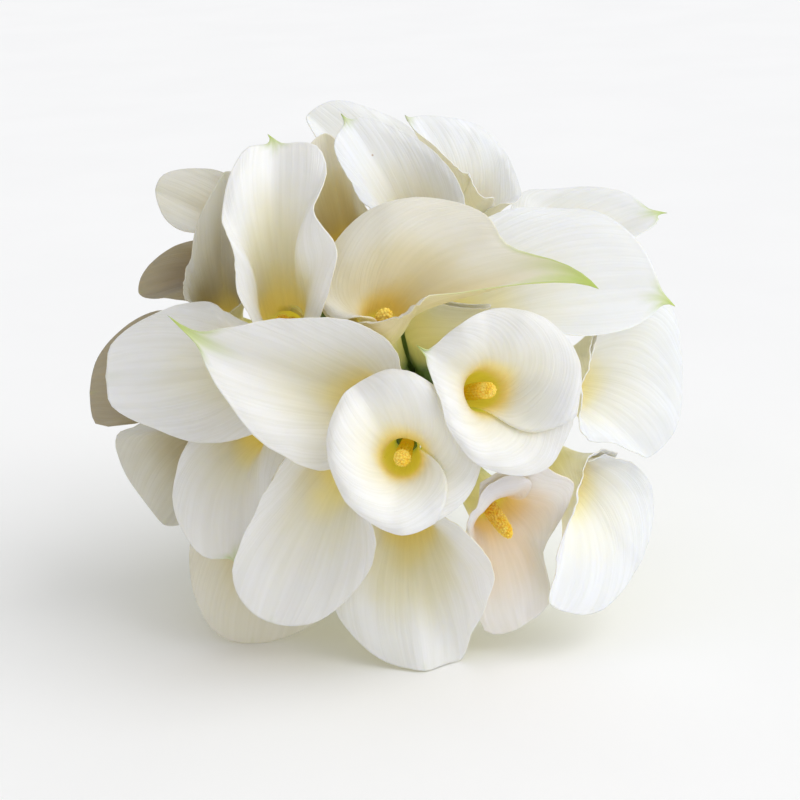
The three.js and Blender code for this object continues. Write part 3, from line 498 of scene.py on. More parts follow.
    def sheet(self, v: Array, rise: Array) -> Array:
        """The sheet as it stands in the bouquet, pressed clear of its neighbours."""
        return self.surface(v, rise) + spread(carried(rise, ROWS), carried(v, COLUMNS), self.shift)


# The grid that carries how far each sheet is bent, and the finer ones that feel for contact.
ROWS = np.array([0.0, 0.5, 1.0, 1.22, 1.45, 1.72, 2.0])
HALF = np.array([0.0, 0.018, 0.12, 0.3, 0.5, 0.68, 0.84, 1.0])
COLUMNS = np.concatenate([-HALF[::-1], HALF[1:]])
FELT_HALF = np.array([0.0, 0.018, 0.06, 0.12, 0.18, 0.24, 0.3, 0.37, 0.44, 0.5, 0.57, 0.63])
FELT_HALF = np.concatenate([FELT_HALF, [0.7, 0.77, 0.84, 0.9, 0.95, 1.0]])
FELT_COLUMNS = np.concatenate([-FELT_HALF[::-1], FELT_HALF[1:]])
FELT_ROWS = np.array([0.0, 0.25, 0.5, 0.75, 1.0, 1.07, 1.14, 1.22, 1.3, 1.38, 1.45, 1.54])
FELT_ROWS = np.concatenate([FELT_ROWS, [1.63, 1.72, 1.79, 1.86, 1.93, 2.0]])


def halved(places: Array) -> Array:
    """The places with one more between each two."""
    between = 0.5 * (places[1:] + places[:-1])
    return np.sort(np.concatenate([places, between]))


def outward(grid: Array) -> Array:
    """Finds the directions out of a sheet.

    Args:
        grid: places of the sheet, by row and column.

    Returns:
        A direction of length 1 for each place, square to the sheet and out of the flower.
    """
    across = grid[1:, 1:] - grid[:-1, :-1]
    right = np.cross(grid[:-1, 1:] - grid[:-1, :-1], across)
    left = np.cross(across, grid[1:, :-1] - grid[:-1, :-1])
    total = np.zeros_like(grid)
    total[:-1, :-1] += right + left
    total[1:, 1:] += right + left
    total[:-1, 1:] += right
    total[1:, :-1] += left
    return unit(total)


def touched(places: Array, points: Array, ways: Array, room: float, fall: float) -> tuple:
    """Sets places against the nearest points of a sheet.

    Args:
        places: the places that may touch it.
        points: the sheet's points.
        ways: the directions out of the sheet at its points.
        room: how far beside a point it still counts in full.
        fall: how slowly it counts for less beyond that.

    Returns:
        The direction out of the sheet at each place, how far out the place is, and how
        much the point counts.
    """
    a, b = places.astype(np.float32), points.astype(np.float32)
    k = np.argmin((b**2).sum(1)[None, :] - 2 * a @ b.T, axis=1)
    away = places - points[k]
    depth = (away * ways[k]).sum(1)
    aside = np.sqrt(np.maximum((away**2).sum(1) - depth**2, 0))
    return ways[k], depth, np.exp(-(np.maximum(aside - room, 0) ** 2) / fall)


def eased(grid: Array) -> Array:
    """A grid where each value is the mean of its four neighbours."""
    wide = np.pad(grid, ((1, 1), (1, 1), (0, 0)), mode="edge")
    return 0.25 * (wide[:-2, 1:-1] + wide[2:, 1:-1] + wide[1:-1, :-2] + wide[1:-1, 2:])


def spread(up: Array, over: Array, coarse: Array) -> Array:
    """A coarse grid's values on a finer one, by weights up and across the sheet."""
    return np.einsum("ri,cj,ijk->rck", up, over, coarse)


@dataclass
class Posy:
    """Sets the flowers clear of each other: stems and tubes first, then each spathe in turn."""

    flowers: list[Calla]
    places: Array | None = None
    spots_away: int = 5
    spots_middle: tuple[float, float] = (-2.0, 1.0)
    row_share: float = 0.8660254
    foot_pull: float = 0.8
    hold_ends: tuple[float, ...] = (0, 0.3, 0.5, 0)
    knee: float = 0.45
    below: float = 0.35
    above: float = 0.45
    group_reach: float = 1.1
    outer_first: float = 0.12
    early_ease: float = 0.35
    late_ease: float = 0.15
    early: float = 0.6
    touch: tuple[float, float] = (1.5, 12.0)
    lap_touch: tuple[float, float] = (2.5, 16.0)
    lap_deepest: float = 6.0
    lap_from: float = 0.3
    felt_push: float = 0.02
    full_weight: float = 0.8

    def settle(self) -> None:
        """Places the stems under the ribbon and bends all tubes and stems clear."""
        self.places = self.assigned()
        count, nodes = len(self.flowers), TUBE_STEPS + STEM_STEPS + 1
        lines = np.zeros((count, nodes, 3))
        radii = np.full((count, nodes), STEM_RADIUS + STEM_ROOM)
        radii[:, TUBE_STEPS + 1] = STEM_RADIUS + FOOT_ROOM
        share = np.linspace(1, 0, TUBE_STEPS + 1)
        for i, flower in enumerate(self.flowers):
            lines[i] = self.first_line(flower, self.places[i])
            radii[i, : TUBE_STEPS + 1] = flower.tube_radius(share) + TUBE_ROOM
        hold = np.ones(nodes)
        hold[[0, 1, -2, -1]] = self.hold_ends
        reach = radii.reshape(-1, 1) + radii.reshape(1, -1)
        owner = np.repeat(np.arange(count), nodes)
        reach[owner[:, None] == owner[None, :]] = -1.0
        for sweep in range(SWEEPS_STEMS):
            moved = self.parted(lines.reshape(-1, 3), reach).reshape(lines.shape)
            lines = lines + MOVE_SHARE * moved * hold[:, None]
            mean = np.zeros_like(lines)
            mean[:, 2:-1] = 0.5 * (lines[:, 1:-2] + lines[:, 3:]) - lines[:, 2:-1]
            lines = lines + (EASE if sweep < SWEEPS_STEMS - LAST_SWEEPS else EASE_LAST) * mean
        for i, flower in enumerate(self.flowers):
            flower.path = lines[i, : TUBE_STEPS + 1][::-1].copy()
            flower.stem_path = lines[i, TUBE_STEPS:].copy()

    def parted(self, flat: Array, reach: Array) -> Array:
        """Finds how far the nodes of all lines push each other away.

        Args:
            flat: the nodes of all lines.
            reach: how far apart each two of them have to be.

        Returns:
            The way that each node moves.
        """
        square = (flat**2).sum(1)
        apart = np.sqrt(np.maximum(square[:, None] + square[None, :] - 2 * flat @ flat.T, 1e-9))
        a, b = np.nonzero(apart < reach)
        away = flat[a] - flat[b]
        gap = np.linalg.norm(away, axis=1)
        push = (0.5 * (reach[a, b] - gap) / gap)[:, None] * away
        moved = np.stack([np.bincount(a, push[:, k], len(flat)) for k in range(3)], 1)
        met = np.bincount(a, minlength=len(flat))
        return moved / np.sqrt(np.maximum(met, 1))[:, None]

    def first_line(self, flower: Calla, place: Array) -> Array:
        """Draws a tube's and stem's line before anything presses on it.

        Args:
            flower: the flower.
            place: where its stem stands under the ribbon.

        Returns:
            The line's nodes from the throat to the ribbon.
        """
        foot = np.array(flower.foot, float)
        knee = flower.centre - flower.axis * np.linalg.norm(flower.centre - foot) * self.knee
        s = np.linspace(1, 0, TUBE_STEPS + 1)[:, None]
        tube = (1 - s) ** 2 * foot + 2 * s * (1 - s) * knee + s**2 * flower.centre
        end = np.array([place[0], place[1], BIND_W])
        high = abs(foot[2] - BIND_W)
        below = foot + unit(foot - knee) * high * self.below
        above = end + np.array([0, 0, 1.0]) * high * self.above
        s = np.linspace(0, 1, STEM_STEPS + 1)[1:, None]
        u = 1 - s
        stem = u**3 * foot + 3 * s * u**2 * below + 3 * s**2 * u * above + s**3 * end
        return np.concatenate([tube, stem])

    def assigned(self) -> Array:
        """Gives each stem a place under the ribbon, near its own flower.

        Returns:
            The place of each stem, x and y.
        """
        steps = range(-self.spots_away, self.spots_away + 1)
        right, high = self.spots_middle
        spots = [(PITCH * (i + 0.5 * j) + right, PITCH * self.row_share * j + high)
                 for i in steps for j in steps]
        spots.sort(key=lambda p: p[0] ** 2 + p[1] ** 2)
        spots = np.array(spots[: len(self.flowers)])
        want = np.array([[f.foot[0] * self.foot_pull, f.foot[1] * self.foot_pull] for f in self.flowers])
        far = ((spots[None, :, :] - want[:, None, :]) ** 2).sum(-1)
        free = list(range(len(spots)))
        got = {}
        for i in sorted(range(len(want)), key=lambda i: -np.hypot(*want[i])):
            got[i] = min(free, key=lambda s: far[i, s])
            free.remove(got[i])
        for _ in range(6):
            for i in range(len(want)):
                for j in range(i + 1, len(want)):
                    now = far[i, got[i]] + far[j, got[j]]
                    if far[i, got[j]] + far[j, got[i]] < now - 1e-6:
                        got[i], got[j] = got[j], got[i]
        return np.array([spots[got[i]] for i in range(len(want))])

    def groups(self) -> list[list[int]]:
        """Finds the neighbouring stems that are pressed together in threes.

        Returns:
            The stems of each group, by their place in the list of flowers.
        """
        places = self.places
        left = sorted(range(len(places)), key=lambda i: -math.hypot(*places[i]))
        groups = []
        while left:
            group = [left.pop(0)]
            while len(group) < GROUP and left:
                near = []
                for i in left:
                    gaps = [math.dist(places[g], places[i]) for g in group]
                    if min(gaps) < PITCH * self.group_reach:
                        near.append((sum(gaps) - self.outer_first * math.hypot(*places[i]), i))
                if not near:
                    break
                group.append(min(near)[1])
                left.remove(group[-1])
            groups.append(group)
        return groups

    def pressed(self, group: list[int]) -> Array:
        """Where the stems of a group stand under the ribbon, pressed together."""
        mean = self.places[group].mean(0)
        return mean + (self.places[group] - mean) * PRESSED

    def bend(self) -> None:
        """Bends each spathe in turn clear of those in front of it."""
        free = np.clip((ROWS - 0.5) / 0.5, 0, 1)[:, None, None]
        up, over = carried(FELT_ROWS, ROWS), carried(FELT_COLUMNS, COLUMNS)
        done = []
        for flower in self.flowers:
            grown = flower.surface(FELT_COLUMNS, FELT_ROWS)
            low, high = grown.min((0, 1)) - NEIGHBOUR_ROOM, grown.max((0, 1)) + NEIGHBOUR_ROOM
            near = [d for d in done if np.all(d[0].min(0) < high) and np.all(d[0].max(0) > low)]
            bent = np.zeros((len(ROWS), len(COLUMNS), 3))
            for sweep in range(SWEEPS_BLADES):
                felt = grown + spread(up, over, bent)
                push = self.pushed(felt.reshape(-1, 3), near)
                if np.abs(push).max() < ENOUGH:
                    break
                bent = bent + self.gathered(push.reshape(felt.shape), up, over) * free
                if sweep < SWEEPS_BLADES - 3:
                    ease = self.early_ease if sweep < SWEEPS_BLADES * self.early else self.late_ease
                    bent = bent + ease * (eased(bent) - bent) * free
            flower.shift = bent
            self.part_lobes(flower, grown, up, over)
            fine = flower.sheet(halved(FELT_COLUMNS), halved(FELT_ROWS))
            done.append((fine.reshape(-1, 3), outward(fine).reshape(-1, 3)))

    def pushed(self, places: Array, near: list[tuple[Array, Array]]) -> Array:
        """Finds how far places have to move to stand clear of the sheets in front.

        Args:
            places: places of one sheet.
            near: the points and outward directions of each sheet in front.

        Returns:
            The way that each place has to move.
        """
        push = np.zeros_like(places)
        most = np.zeros(len(places))
        for points, ways in near:
            ways, depth, counts = touched(places, points, ways, *self.touch)
            need = np.where((depth < CLEAR) & (depth > -REACH_BACK), (CLEAR - depth) * counts, 0)
            more = need > most
            push[more] = (ways * need[:, None])[more]
            most[more] = need[more]
        return push

    def gathered(self, push: Array, up: Array, over: Array) -> Array:
        """Gathers the pushes of a fine grid on the coarse one.

        Args:
            push: the pushes on the fine grid.
            up: the coarse rows' weights on the fine ones.
            over: the coarse columns' weights on the fine ones.

        Returns:
            The pushes on the coarse grid.
        """
        up, over = np.maximum(up, 0), np.maximum(over, 0)
        felt = (np.linalg.norm(push, axis=-1) > self.felt_push).astype(float)
        total = np.einsum("ri,cj,rck->ijk", up, over, push)
        weight = np.einsum("ri,cj,rc->ij", up, over, felt)[..., None]
        return total / np.maximum(weight, 1e-6) * np.minimum(weight / self.full_weight, 1)

    def part_lobes(self, flower: Calla, grown: Array, up: Array, over: Array) -> None:
        """Presses the inner lobe clear of the outer one where they lap.

        Args:
            flower: the flower, which keeps the new shift.
            grown: its sheet as it grows.
            up: the coarse rows' weights on the fine ones.
            over: the coarse columns' weights on the fine ones.
        """
        middle = len(FELT_HALF) - 1
        starts = int(np.argmax(FELT_HALF >= self.lap_from))
        left, right = slice(0, middle - starts + 1), slice(middle + starts, None)
        outer, inner = (left, right) if flower.lap > 0 else (right, left)
        for _ in range(SWEEPS_LAPS):
            felt = grown + spread(up, over, flower.shift)
            points = felt[:, outer].reshape(-1, 3)
            ways = outward(felt)[:, outer].reshape(-1, 3)
            places = felt[:, inner].reshape(-1, 3)
            ways, depth, counts = touched(places, points, ways, *self.lap_touch)
            hit = (depth > -LAP_CLEAR) & (depth < self.lap_deepest)
            need = np.where(hit, (LAP_CLEAR + depth) * counts, 0)
            if need.max() < ENOUGH:
                break
            push = np.zeros_like(felt)
            push[:, inner] = (-ways * need[:, None]).reshape(felt[:, inner].shape)
            flower.shift = flower.shift + self.gathered(push, up, over)


# The flowers from front to back: name, tone, throat, lean, and the margin's line from its tip.
FLOWERS = [
    Calla("B", Tone.IVORY, (35, 4, -20), (8, 0),
          ((13, 18, 0), (17, 0, 3), (23, -16, 3), (31, -26, 3), (40, -30, 1), (61, -29, -6),
           (69, -16, -8), (74, 0, -6), (74, 16, -6), (66, 29, -4), (54, 36, -1), (40, 38, 0),
           (25, 30, 2)),
          curl=(30, 50, 40, 50), point=8, tail=7, hook=-30, sweep=-1, foot=(16, 2, -66), lap=-1,
          over=(70, 25, 60, -12)),
    Calla("A", Tone.IVORY, (1, -24, -20), (3, 120),
          ((-20, 6, -5), (-30, -12, 2), (-27, -33, 3), (-16, -49, 3), (-1, -56, 0), (16, -50, -4),
           (34, -30, -8), (31, -12, -4), (18, 6, 0), (-2, 14, -2)),
          curl=(60, 65, 45, 60), point=3, foot=(2, -12, -68), lap=1, over=(80, -8, 60, 25)),
    Calla("D", Tone.IVORY, (-10, -2, -48), (35, 165),
          ((-83, 24, -22), (-68, -2, -18), (-52, -21, -14), (-29, -29, -14), (-14, -21, -16),
           (0, -8, -18), (-2, 18, -14), (-8, 25, -12), (-21, 32, -10), (-40, 33, -12),
           (-61, 28, -18)),
          curl=(10, 30, 10, 30), point=14, tail=17, hook=0, sweep=-6, foot=(-4, -2, -90)),
    Calla("E", Tone.PEARL, (-48, 30, -56), (35, 98),
          ((-52, 107, -36), (-63, 102, -32), (-69, 94, -26), (-73, 78, -20), (-69, 62, -14),
           (-66, 44, -18), (-60, 27, -24), (-47, 22, -24), (-34, 36, -18), (-28, 59, -8),
           (-36, 79, -14), (-31, 97, -26), (-36, 105, -32)),
          curl=(50, 30, 10, 30), point=4, tail=7, hook=0, sweep=4, foot=(-22, 16, -98), spadix=6),
    Calla("C", Tone.CREAM, (-8, 31, -28), (25, 60),
          ((76, 60, -2), (42, 66, -10), (36, 76, -16), (17, 83, -20), (0, 83, -20), (-14, 78, -22),
           (-27, 66, -24), (-36, 50, -26), (-34, 36, -18), (-22, 28, -6), (-7, 28, 3), (2, 35, 4),
           (12, 43, 3), (25, 44, -1), (42, 52, -4)),
          curl=(5, 20, 10, 20), point=27, width=0.1, tail=6, hook=0, sweep=-15, foot=(-6, 16, -72),
          lap=1),
    Calla("M", Tone.SNOW, (66, -29, -70), (45, -35),
          ((64, -84, -44), (79, -87, -56), (93, -78, -64), (101, -63, -70), (105, -45, -74),
           (103, -33, -72), (96, -25, -66), (85, -23, -54), (79, -25, -46), (75, -37, -38),
           (70, -52, -34), (66, -68, -36)),
          curl=(20, 30, 10, 30), point=6, foot=(28, -16, -106)),
    Calla("P", Tone.IVORY, (-21, -21, -62), (40, -125),
          ((-54, -92, -54), (-64, -83, -50), (-69, -72, -46), (-66, -60, -40), (-59, -47, -32),
           (-52, -33, -28), (-44, -20, -28), (-24, -12, -28), (-14, -41, -26), (-11, -58, -32),
           (-14, -71, -38), (-23, -83, -46), (-36, -91, -52)),
          curl=(25, 30, 10, 30), point=3, foot=(-14, -18, -102)),
    Calla("O", Tone.PEARL, (3, -44, -62), (40, -90),
          ((10, -112, -50), (23, -107, -60), (29, -96, -50), (36, -83, -36), (39, -73, -30),
           (35, -63, -24), (26, -55, -18), (10, -43, -24), (-8, -46, -32), (-21, -58, -46),
           (-26, -72, -52), (-28, -85, -56), (-20, -97, -56), (-6, -107, -54)),
          curl=(20, 30, 10, 30), point=4, foot=(2, -28, -102)),
    Calla("N", Tone.BLUSH, (36, -43, -48), (38, -55),
          ((50, -94, -58), (64, -83, -58), (66, -64, -56), (57, -51, -23), (79, -38, -20),
           (66, -31, -14), (60, -27, -10), (50, -31, -8), (41, -36, -8), (32, -45, -8),
           (25, -53, -10), (28, -66, -36), (31, -83, -50), (36, -95, -60)),
          curl=(10, 0, 30, 20), point=4, foot=(18, -22, -96), lap=-1, spadix=24),
    Calla("J", Tone.SNOW, (14, 31, -50), (45, 15),
          ((108, 43, -46), (98, 64, -50), (83, 77, -52), (64, 79, -50), (46, 79, -44),
           (33, 73, -36), (23, 62, -28), (10, 45, -22), (25, 45, -14), (41, 38, -12), (60, 30, -16),
           (78, 27, -24), (96, 32, -36)),
          curl=(10, 30, 10, 30), point=5, tail=7, hook=0, sweep=-5, foot=(9, 14, -95), spadix=5),
    Calla("L", Tone.SNOW, (62, 8, -64), (45, 0),
          ((102, -27, -58), (114, -12, -64), (117, 8, -68), (116, 23, -68), (111, 42, -64),
           (95, 46, -52), (83, 33, -36), (80, 17, -28), (77, 0, -26), (76, -12, -30),
           (81, -20, -36), (92, -24, -48)),
          curl=(20, 30, 10, 30), point=3, foot=(30, 0, -104)),
    Calla("F", Tone.SNOW, (8, 66, -62), (40, 110),
          ((-21, 115, -46), (-26, 105, -40), (-23, 94, -36), (-16, 84, -32), (-4, 72, -28),
           (10, 62, -30), (23, 70, -34), (25, 83, -38), (21, 94, -42), (13, 103, -46),
           (0, 111, -50), (-13, 115, -48)),
          curl=(20, 30, 10, 30), point=4, tail=5, foot=(4, 34, -105)),
    Calla("S", Tone.IVORY, (-52, 15, -68), (45, 180),
          ((-122, 10, -64), (-113, -1, -62), (-99, -12, -58), (-85, -17, -52), (-68, -16, -44),
           (-54, -10, -38), (-47, 8, -34), (-54, 23, -36), (-66, 32, -42), (-80, 40, -50),
           (-99, 36, -58), (-113, 23, -64)),
          curl=(10, 30, 10, 30), point=14, foot=(-26, 6, -110)),
    Calla("Q", Tone.IVORY, (-56, -9, -80), (45, 200),
          ((-69, -64, -52), (-80, -61, -58), (-90, -52, -62), (-94, -41, -64), (-92, -28, -62),
           (-86, -17, -58), (-72, 0, -58), (-54, 5, -50), (-45, -12, -42), (-54, -33, -38),
           (-58, -45, -42), (-62, -56, -48)),
          curl=(10, 20, 10, 20), point=8, tail=7, sweep=1, foot=(-28, -8, -112)),
    Calla("G", Tone.SNOW, (24, 70, -74), (40, 75),
          ((5, 116, -56), (17, 103, -46), (28, 93, -42), (37, 84, -40), (42, 68, -44),
           (21, 116, -64), (33, 113, -68), (42, 105, -68), (47, 95, -64), (49, 85, -58)),
          curl=(20, 30, 10, 30), point=4, tail=3, foot=(14, 32, -108), over=(60, -8, 60, -8)),
    Calla("Y", Tone.CREAM, (-21, 57, -76), (40, 100),
          ((-31, 110, -66), (-23, 99, -60), (-18, 85, -54), (-16, 70, -48), (-23, 58, -44),
           (-35, 62, -48), (-41, 78, -54), (-41, 97, -60)),
          curl=(10, 20, 10, 20), point=8, foot=(-14, 28, -110)),
    Calla("I", Tone.SNOW, (54, 58, -82), (45, 15),
          ((104, 78, -80), (89, 84, -84), (66, 87, -84), (50, 86, -84), (42, 76, -76),
           (40, 60, -66), (50, 47, -58), (68, 50, -60), (87, 64, -66), (99, 72, -74)),
          curl=(10, 20, 10, 20), point=10, tail=8, sweep=-4, foot=(28, 22, -114)),
    # X, V and U below carry painted half shade, and W and T carry painted shade: the shade that falls on
    # the bouquet's left side.
    Calla("X", Tone.PAINTED_HALF_SHADE, (-73, 29, -84), (40, 110),
          ((-73, 94, -66), (-79, 76, -64), (-86, 57, -62), (-90, 41, -60), (-72, 35, -50),
           (-62, 45, -48), (-60, 66, -50), (-64, 87, -58)),
          curl=(10, 10, 10, 10), point=8, foot=(-36, 18, -122)),
    Calla("V", Tone.PAINTED_HALF_SHADE, (-54, 64, -92), (45, 150),
          ((-101, 87, -88), (-94, 92, -90), (-80, 95, -90), (-66, 89, -82), (-56, 72, -70),
           (-66, 62, -68), (-80, 68, -74), (-94, 73, -82)),
          curl=(10, 20, 10, 20), point=6, foot=(-28, 34, -120)),
    Calla("H", Tone.SNOW, (0, 76, -90), (45, 110),
          ((-38, 118, -84), (-26, 122, -88), (-12, 120, -90), (2, 114, -90), (12, 99, -84),
           (8, 76, -74), (-12, 85, -68), (-23, 97, -70), (-33, 108, -76)),
          curl=(10, 20, 10, 20), point=6, foot=(0, 34, -120)),
    Calla("U", Tone.PAINTED_HALF_SHADE, (-66, -10, -100), (50, 210),
          ((-98, -51, -88), (-105, -41, -90), (-115, -27, -90), (-117, -15, -88), (-109, -12, -82),
           (-90, -8, -78), (-72, -12, -72), (-76, -33, -72), (-85, -45, -78), (-92, -50, -84)),
          curl=(10, 20, 10, 20), point=4, foot=(-38, -14, -124)),
    Calla("R", Tone.CREAM, (-45, -41, -92), (45, 235),
          ((-62, -101, -84), (-76, -95, -86), (-84, -83, -86), (-87, -67, -84), (-85, -54, -78),
           (-66, -37, -70), (-41, -33, -66), (-25, -58, -66), (-25, -78, -72), (-36, -92, -80)),
          curl=(20, 20, 10, 20), point=3, foot=(-24, -28, -122)),
    Calla("W", Tone.PAINTED_SHADE, (-68, 54, -104), (50, 165),
          ((-108, 45, -98), (-103, 54, -100), (-94, 63, -102), (-82, 66, -103), (-70, 60, -98),
           (-68, 45, -90), (-82, 41, -92), (-97, 43, -92)),
          curl=(10, 20, 10, 20), point=6, throat=7.5, foot=(-38, 28, -128)),
    Calla("T", Tone.PAINTED_SHADE, (-68, 9, -98), (50, 180),
          ((-128, 3, -92), (-124, -10, -90), (-110, -9, -92), (-90, -3, -90), (-76, 8, -80),
           (-87, 33, -76), (-99, 38, -86), (-113, 31, -92), (-124, 17, -94)),
          curl=(10, 20, 10, 20), point=4, foot=(-38, 4, -124)),
]


class Wiring:
    """Adds nodes to a node tree, sets them and links them."""

    def __init__(self, tree: bpy.types.NodeTree) -> None:
        """Keeps the tree."""
        self.tree = tree

    def feed(self, node: bpy.types.Node, inputs: dict) -> bpy.types.Node:
        """Sets a node's inputs.

        Args:
            node: the node.
            inputs: values or sockets for its inputs, by name or place.

        Returns:
            The node.
        """
        for key, value in inputs.items():
            if isinstance(value, bpy.types.NodeSocket):
                self.tree.links.new(value, node.inputs[key])
            else:
                node.inputs[key].default_value = value
        return node

    def add(self, kind: str, inputs: dict | None = None, **settings: object) -> bpy.types.Node:
        """Adds one node.

        Args:
            kind: the node's type name.
            inputs: values or sockets for its inputs, by name or place.
            settings: the node's own properties.

        Returns:
            The node.
        """
        node = self.tree.nodes.new(kind)
        for name, value in settings.items():
            setattr(node, name, value)
        return self.feed(node, inputs or {})

    def sum(self, operation: str, *values: object) -> bpy.types.NodeSocket:
        """A Math node's result."""
        return self.add("ShaderNodeMath", dict(enumerate(values)), operation=operation).outputs[0]

    def between(self, value: object, low: float, high: float, first: float = 0.0,
                last: float = 1.0) -> bpy.types.NodeSocket:
        """A value carried from one range to another, smoothly and held at its ends."""
        inputs = {"Value": value, "From Min": low, "From Max": high, "To Min": first, "To Max": last}
        return self.add("ShaderNodeMapRange", inputs, interpolation_type="SMOOTHSTEP").outputs[0]

    def blend(self, share: object, first: object, second: object,
              mode: str = "MIX") -> bpy.types.NodeSocket:
        """Two colours mixed."""
        inputs = {0: share, 6: first, 7: second}
        return self.add("ShaderNodeMix", inputs, data_type="RGBA", blend_type=mode).outputs[2]

    def ramp(self, value: bpy.types.NodeSocket,
             stops: list[tuple[float, Colour]]) -> bpy.types.NodeSocket:
        """Carries a value through a ramp of colours.

        Args:
            value: the value, from 0 to 1.
            stops: the places and colours of the ramp.

        Returns:
            The colour.
        """
        node = self.add("ShaderNodeValToRGB", {"Fac": value})
        node.color_ramp.interpolation = "EASE"
        elements = node.color_ramp.elements
        while len(elements) < len(stops):
            elements.new(0.5)
        for element, (place, colour) in zip(elements, stops):
            element.position = place
            element.color = rgba(colour)
        return node.outputs["Color"]

    def attribute(self, name: str) -> bpy.types.NodeSocket:
        """A number kept on the mesh."""
        return self.add("ShaderNodeAttribute", attribute_name=name).outputs["Fac"]

    def noise(self, vector: bpy.types.NodeSocket, scale: object, detail: object,
              rough: float = 0.5) -> bpy.types.NodeSocket:
        """A noise value."""
        inputs = {"Vector": vector, "Scale": scale, "Detail": detail, "Roughness": rough}
        return self.add("ShaderNodeTexNoise", inputs).outputs["Fac"]

    def bump(self, height: bpy.types.NodeSocket, strength: float, distance: float) -> bpy.types.NodeSocket:
        """A surface's directions, roughened by a height."""
        inputs = {"Height": height, "Strength": strength, "Distance": distance}
        return self.add("ShaderNodeBump", inputs).outputs[0]

    def group(self, tree: bpy.types.NodeTree, inputs: dict) -> bpy.types.bpy_prop_collection:
        """A shared group's outputs, with its own values."""
        return self.add("ShaderNodeGroup", inputs, node_tree=tree).outputs


def rgba(colour: Colour) -> tuple[float, float, float, float]:
    """A colour with full cover."""
    return (*colour, 1.0)


def begun_group(name: str, kind: str, inputs: dict[str, tuple[str, object]],
                outputs: dict[str, str]) -> tuple:
    """Begins a node group.

    Args:
        name: the group's name.
        kind: its kind of tree, Shader or Geometry.
        inputs: the kind and value of each input.
        outputs: the kind of each output.

    Returns:
        The wiring, the input node's sockets and the output node.
    """
    tree = bpy.data.node_groups.new(name, f"{kind}NodeTree")
    sockets = tree.interface
    for label, (sort, value) in inputs.items():
        socket = sockets.new_socket(label, in_out="INPUT", socket_type=f"NodeSocket{sort}")
        if value is not None:
            socket.default_value = value
    for label, sort in outputs.items():
        sockets.new_socket(label, in_out="OUTPUT", socket_type=f"NodeSocket{sort}")
    wiring = Wiring(tree)
    return wiring, wiring.add("NodeGroupInput").outputs, wiring.add("NodeGroupOutput")


def begun_effect(name: str, sizes: dict[str, float], outputs: list[str]) -> tuple:
    """Begins a shader group of plain numbers, as `begun_group` does."""
    inputs = {label: ("Float", value) for label, value in sizes.items()}
    return begun_group(name, "Shader", inputs, dict.fromkeys(outputs, "Float"))


@functools.cache
def long_fibres() -> bpy.types.NodeTree:
    """Builds the fine veins that run along a piece, slowly changing along it.

    Returns:
        The group.
    """
    sizes = {"Across": 0.0, "Along": 0.0, "Count": 60.0, "Change": 1.2}
    wiring, start, end = begun_effect("long_fibres", sizes, ["Streaks", "Height"])
    across = wiring.sum("MULTIPLY", start["Across"], start["Count"])
    along = wiring.sum("MULTIPLY", start["Along"], start["Change"])
    broad = wiring.sum("MULTIPLY", across, 0.3)
    fine = wiring.add("ShaderNodeCombineXYZ", {0: across, 1: along, 2: 3.1}).outputs[0]
    wide = wiring.add("ShaderNodeCombineXYZ", {0: broad, 1: along, 2: 8.7}).outputs[0]
    thin_streaks = wiring.noise(fine, 1.0, 2.5, 0.6)
    wide_streaks = wiring.noise(wide, 1.0, 1.0)
    both = wiring.sum("ADD", wiring.sum("MULTIPLY", thin_streaks, 0.6),
                      wiring.sum("MULTIPLY", wide_streaks, 0.4))
    wiring.feed(end, {"Streaks": wiring.between(both, 0.36, 0.64), "Height": thin_streaks})
    return wiring.tree


@functools.cache
def mottle() -> bpy.types.NodeTree:
    """Builds soft patches in the piece's own place.

    Returns:
        The group.
    """
    wiring, start, end = begun_effect("mottle", {"Size": 30.0, "Detail": 2.0}, ["Patches"])
    place = wiring.add("ShaderNodeTexCoord").outputs["Object"]
    value = wiring.noise(place, start["Size"], start["Detail"])
    wiring.feed(end, {"Patches": wiring.between(value, 0.3, 0.7)})
    return wiring.tree


@functools.cache
def specks() -> bpy.types.NodeTree:
    """Builds few small round marks.

    Returns:
        The group.
    """
    sizes = {"Size": 60.0, "Reach": 0.08, "Share": 0.12}
    wiring, start, end = begun_effect("specks", sizes, ["Marks"])
    place = wiring.add("ShaderNodeTexCoord").outputs["Object"]
    cells = wiring.add("ShaderNodeTexVoronoi", {"Vector": place, "Scale": start["Size"]}).outputs
    picked = wiring.add("ShaderNodeSeparateColor", {0: cells["Color"]}).outputs[0]
    chosen = wiring.sum("LESS_THAN", picked, start["Share"])
    near = wiring.sum("SUBTRACT", 1.0, wiring.sum("DIVIDE", cells["Distance"], start["Reach"]))
    wiring.feed(end, {"Marks": wiring.sum("MULTIPLY", chosen, wiring.between(near, 0.0, 0.6))})
    return wiring.tree


def begun_material(name: str, colour: Colour) -> tuple[bpy.types.Material, Wiring, bpy.types.Node]:
    """A new material with its wiring and its one shader.

    Args:
        name: the material's name.
        colour: its colour in the solid view.

    Returns:
        The material, the wiring and the Principled shader.
    """
    material = bpy.data.materials.new(name)
    material.use_nodes = True
    material.diffuse_color = rgba(colour)
    tree = material.node_tree
    shader = next(n for n in tree.nodes if n.type == "BSDF_PRINCIPLED")
    return material, Wiring(tree), shader


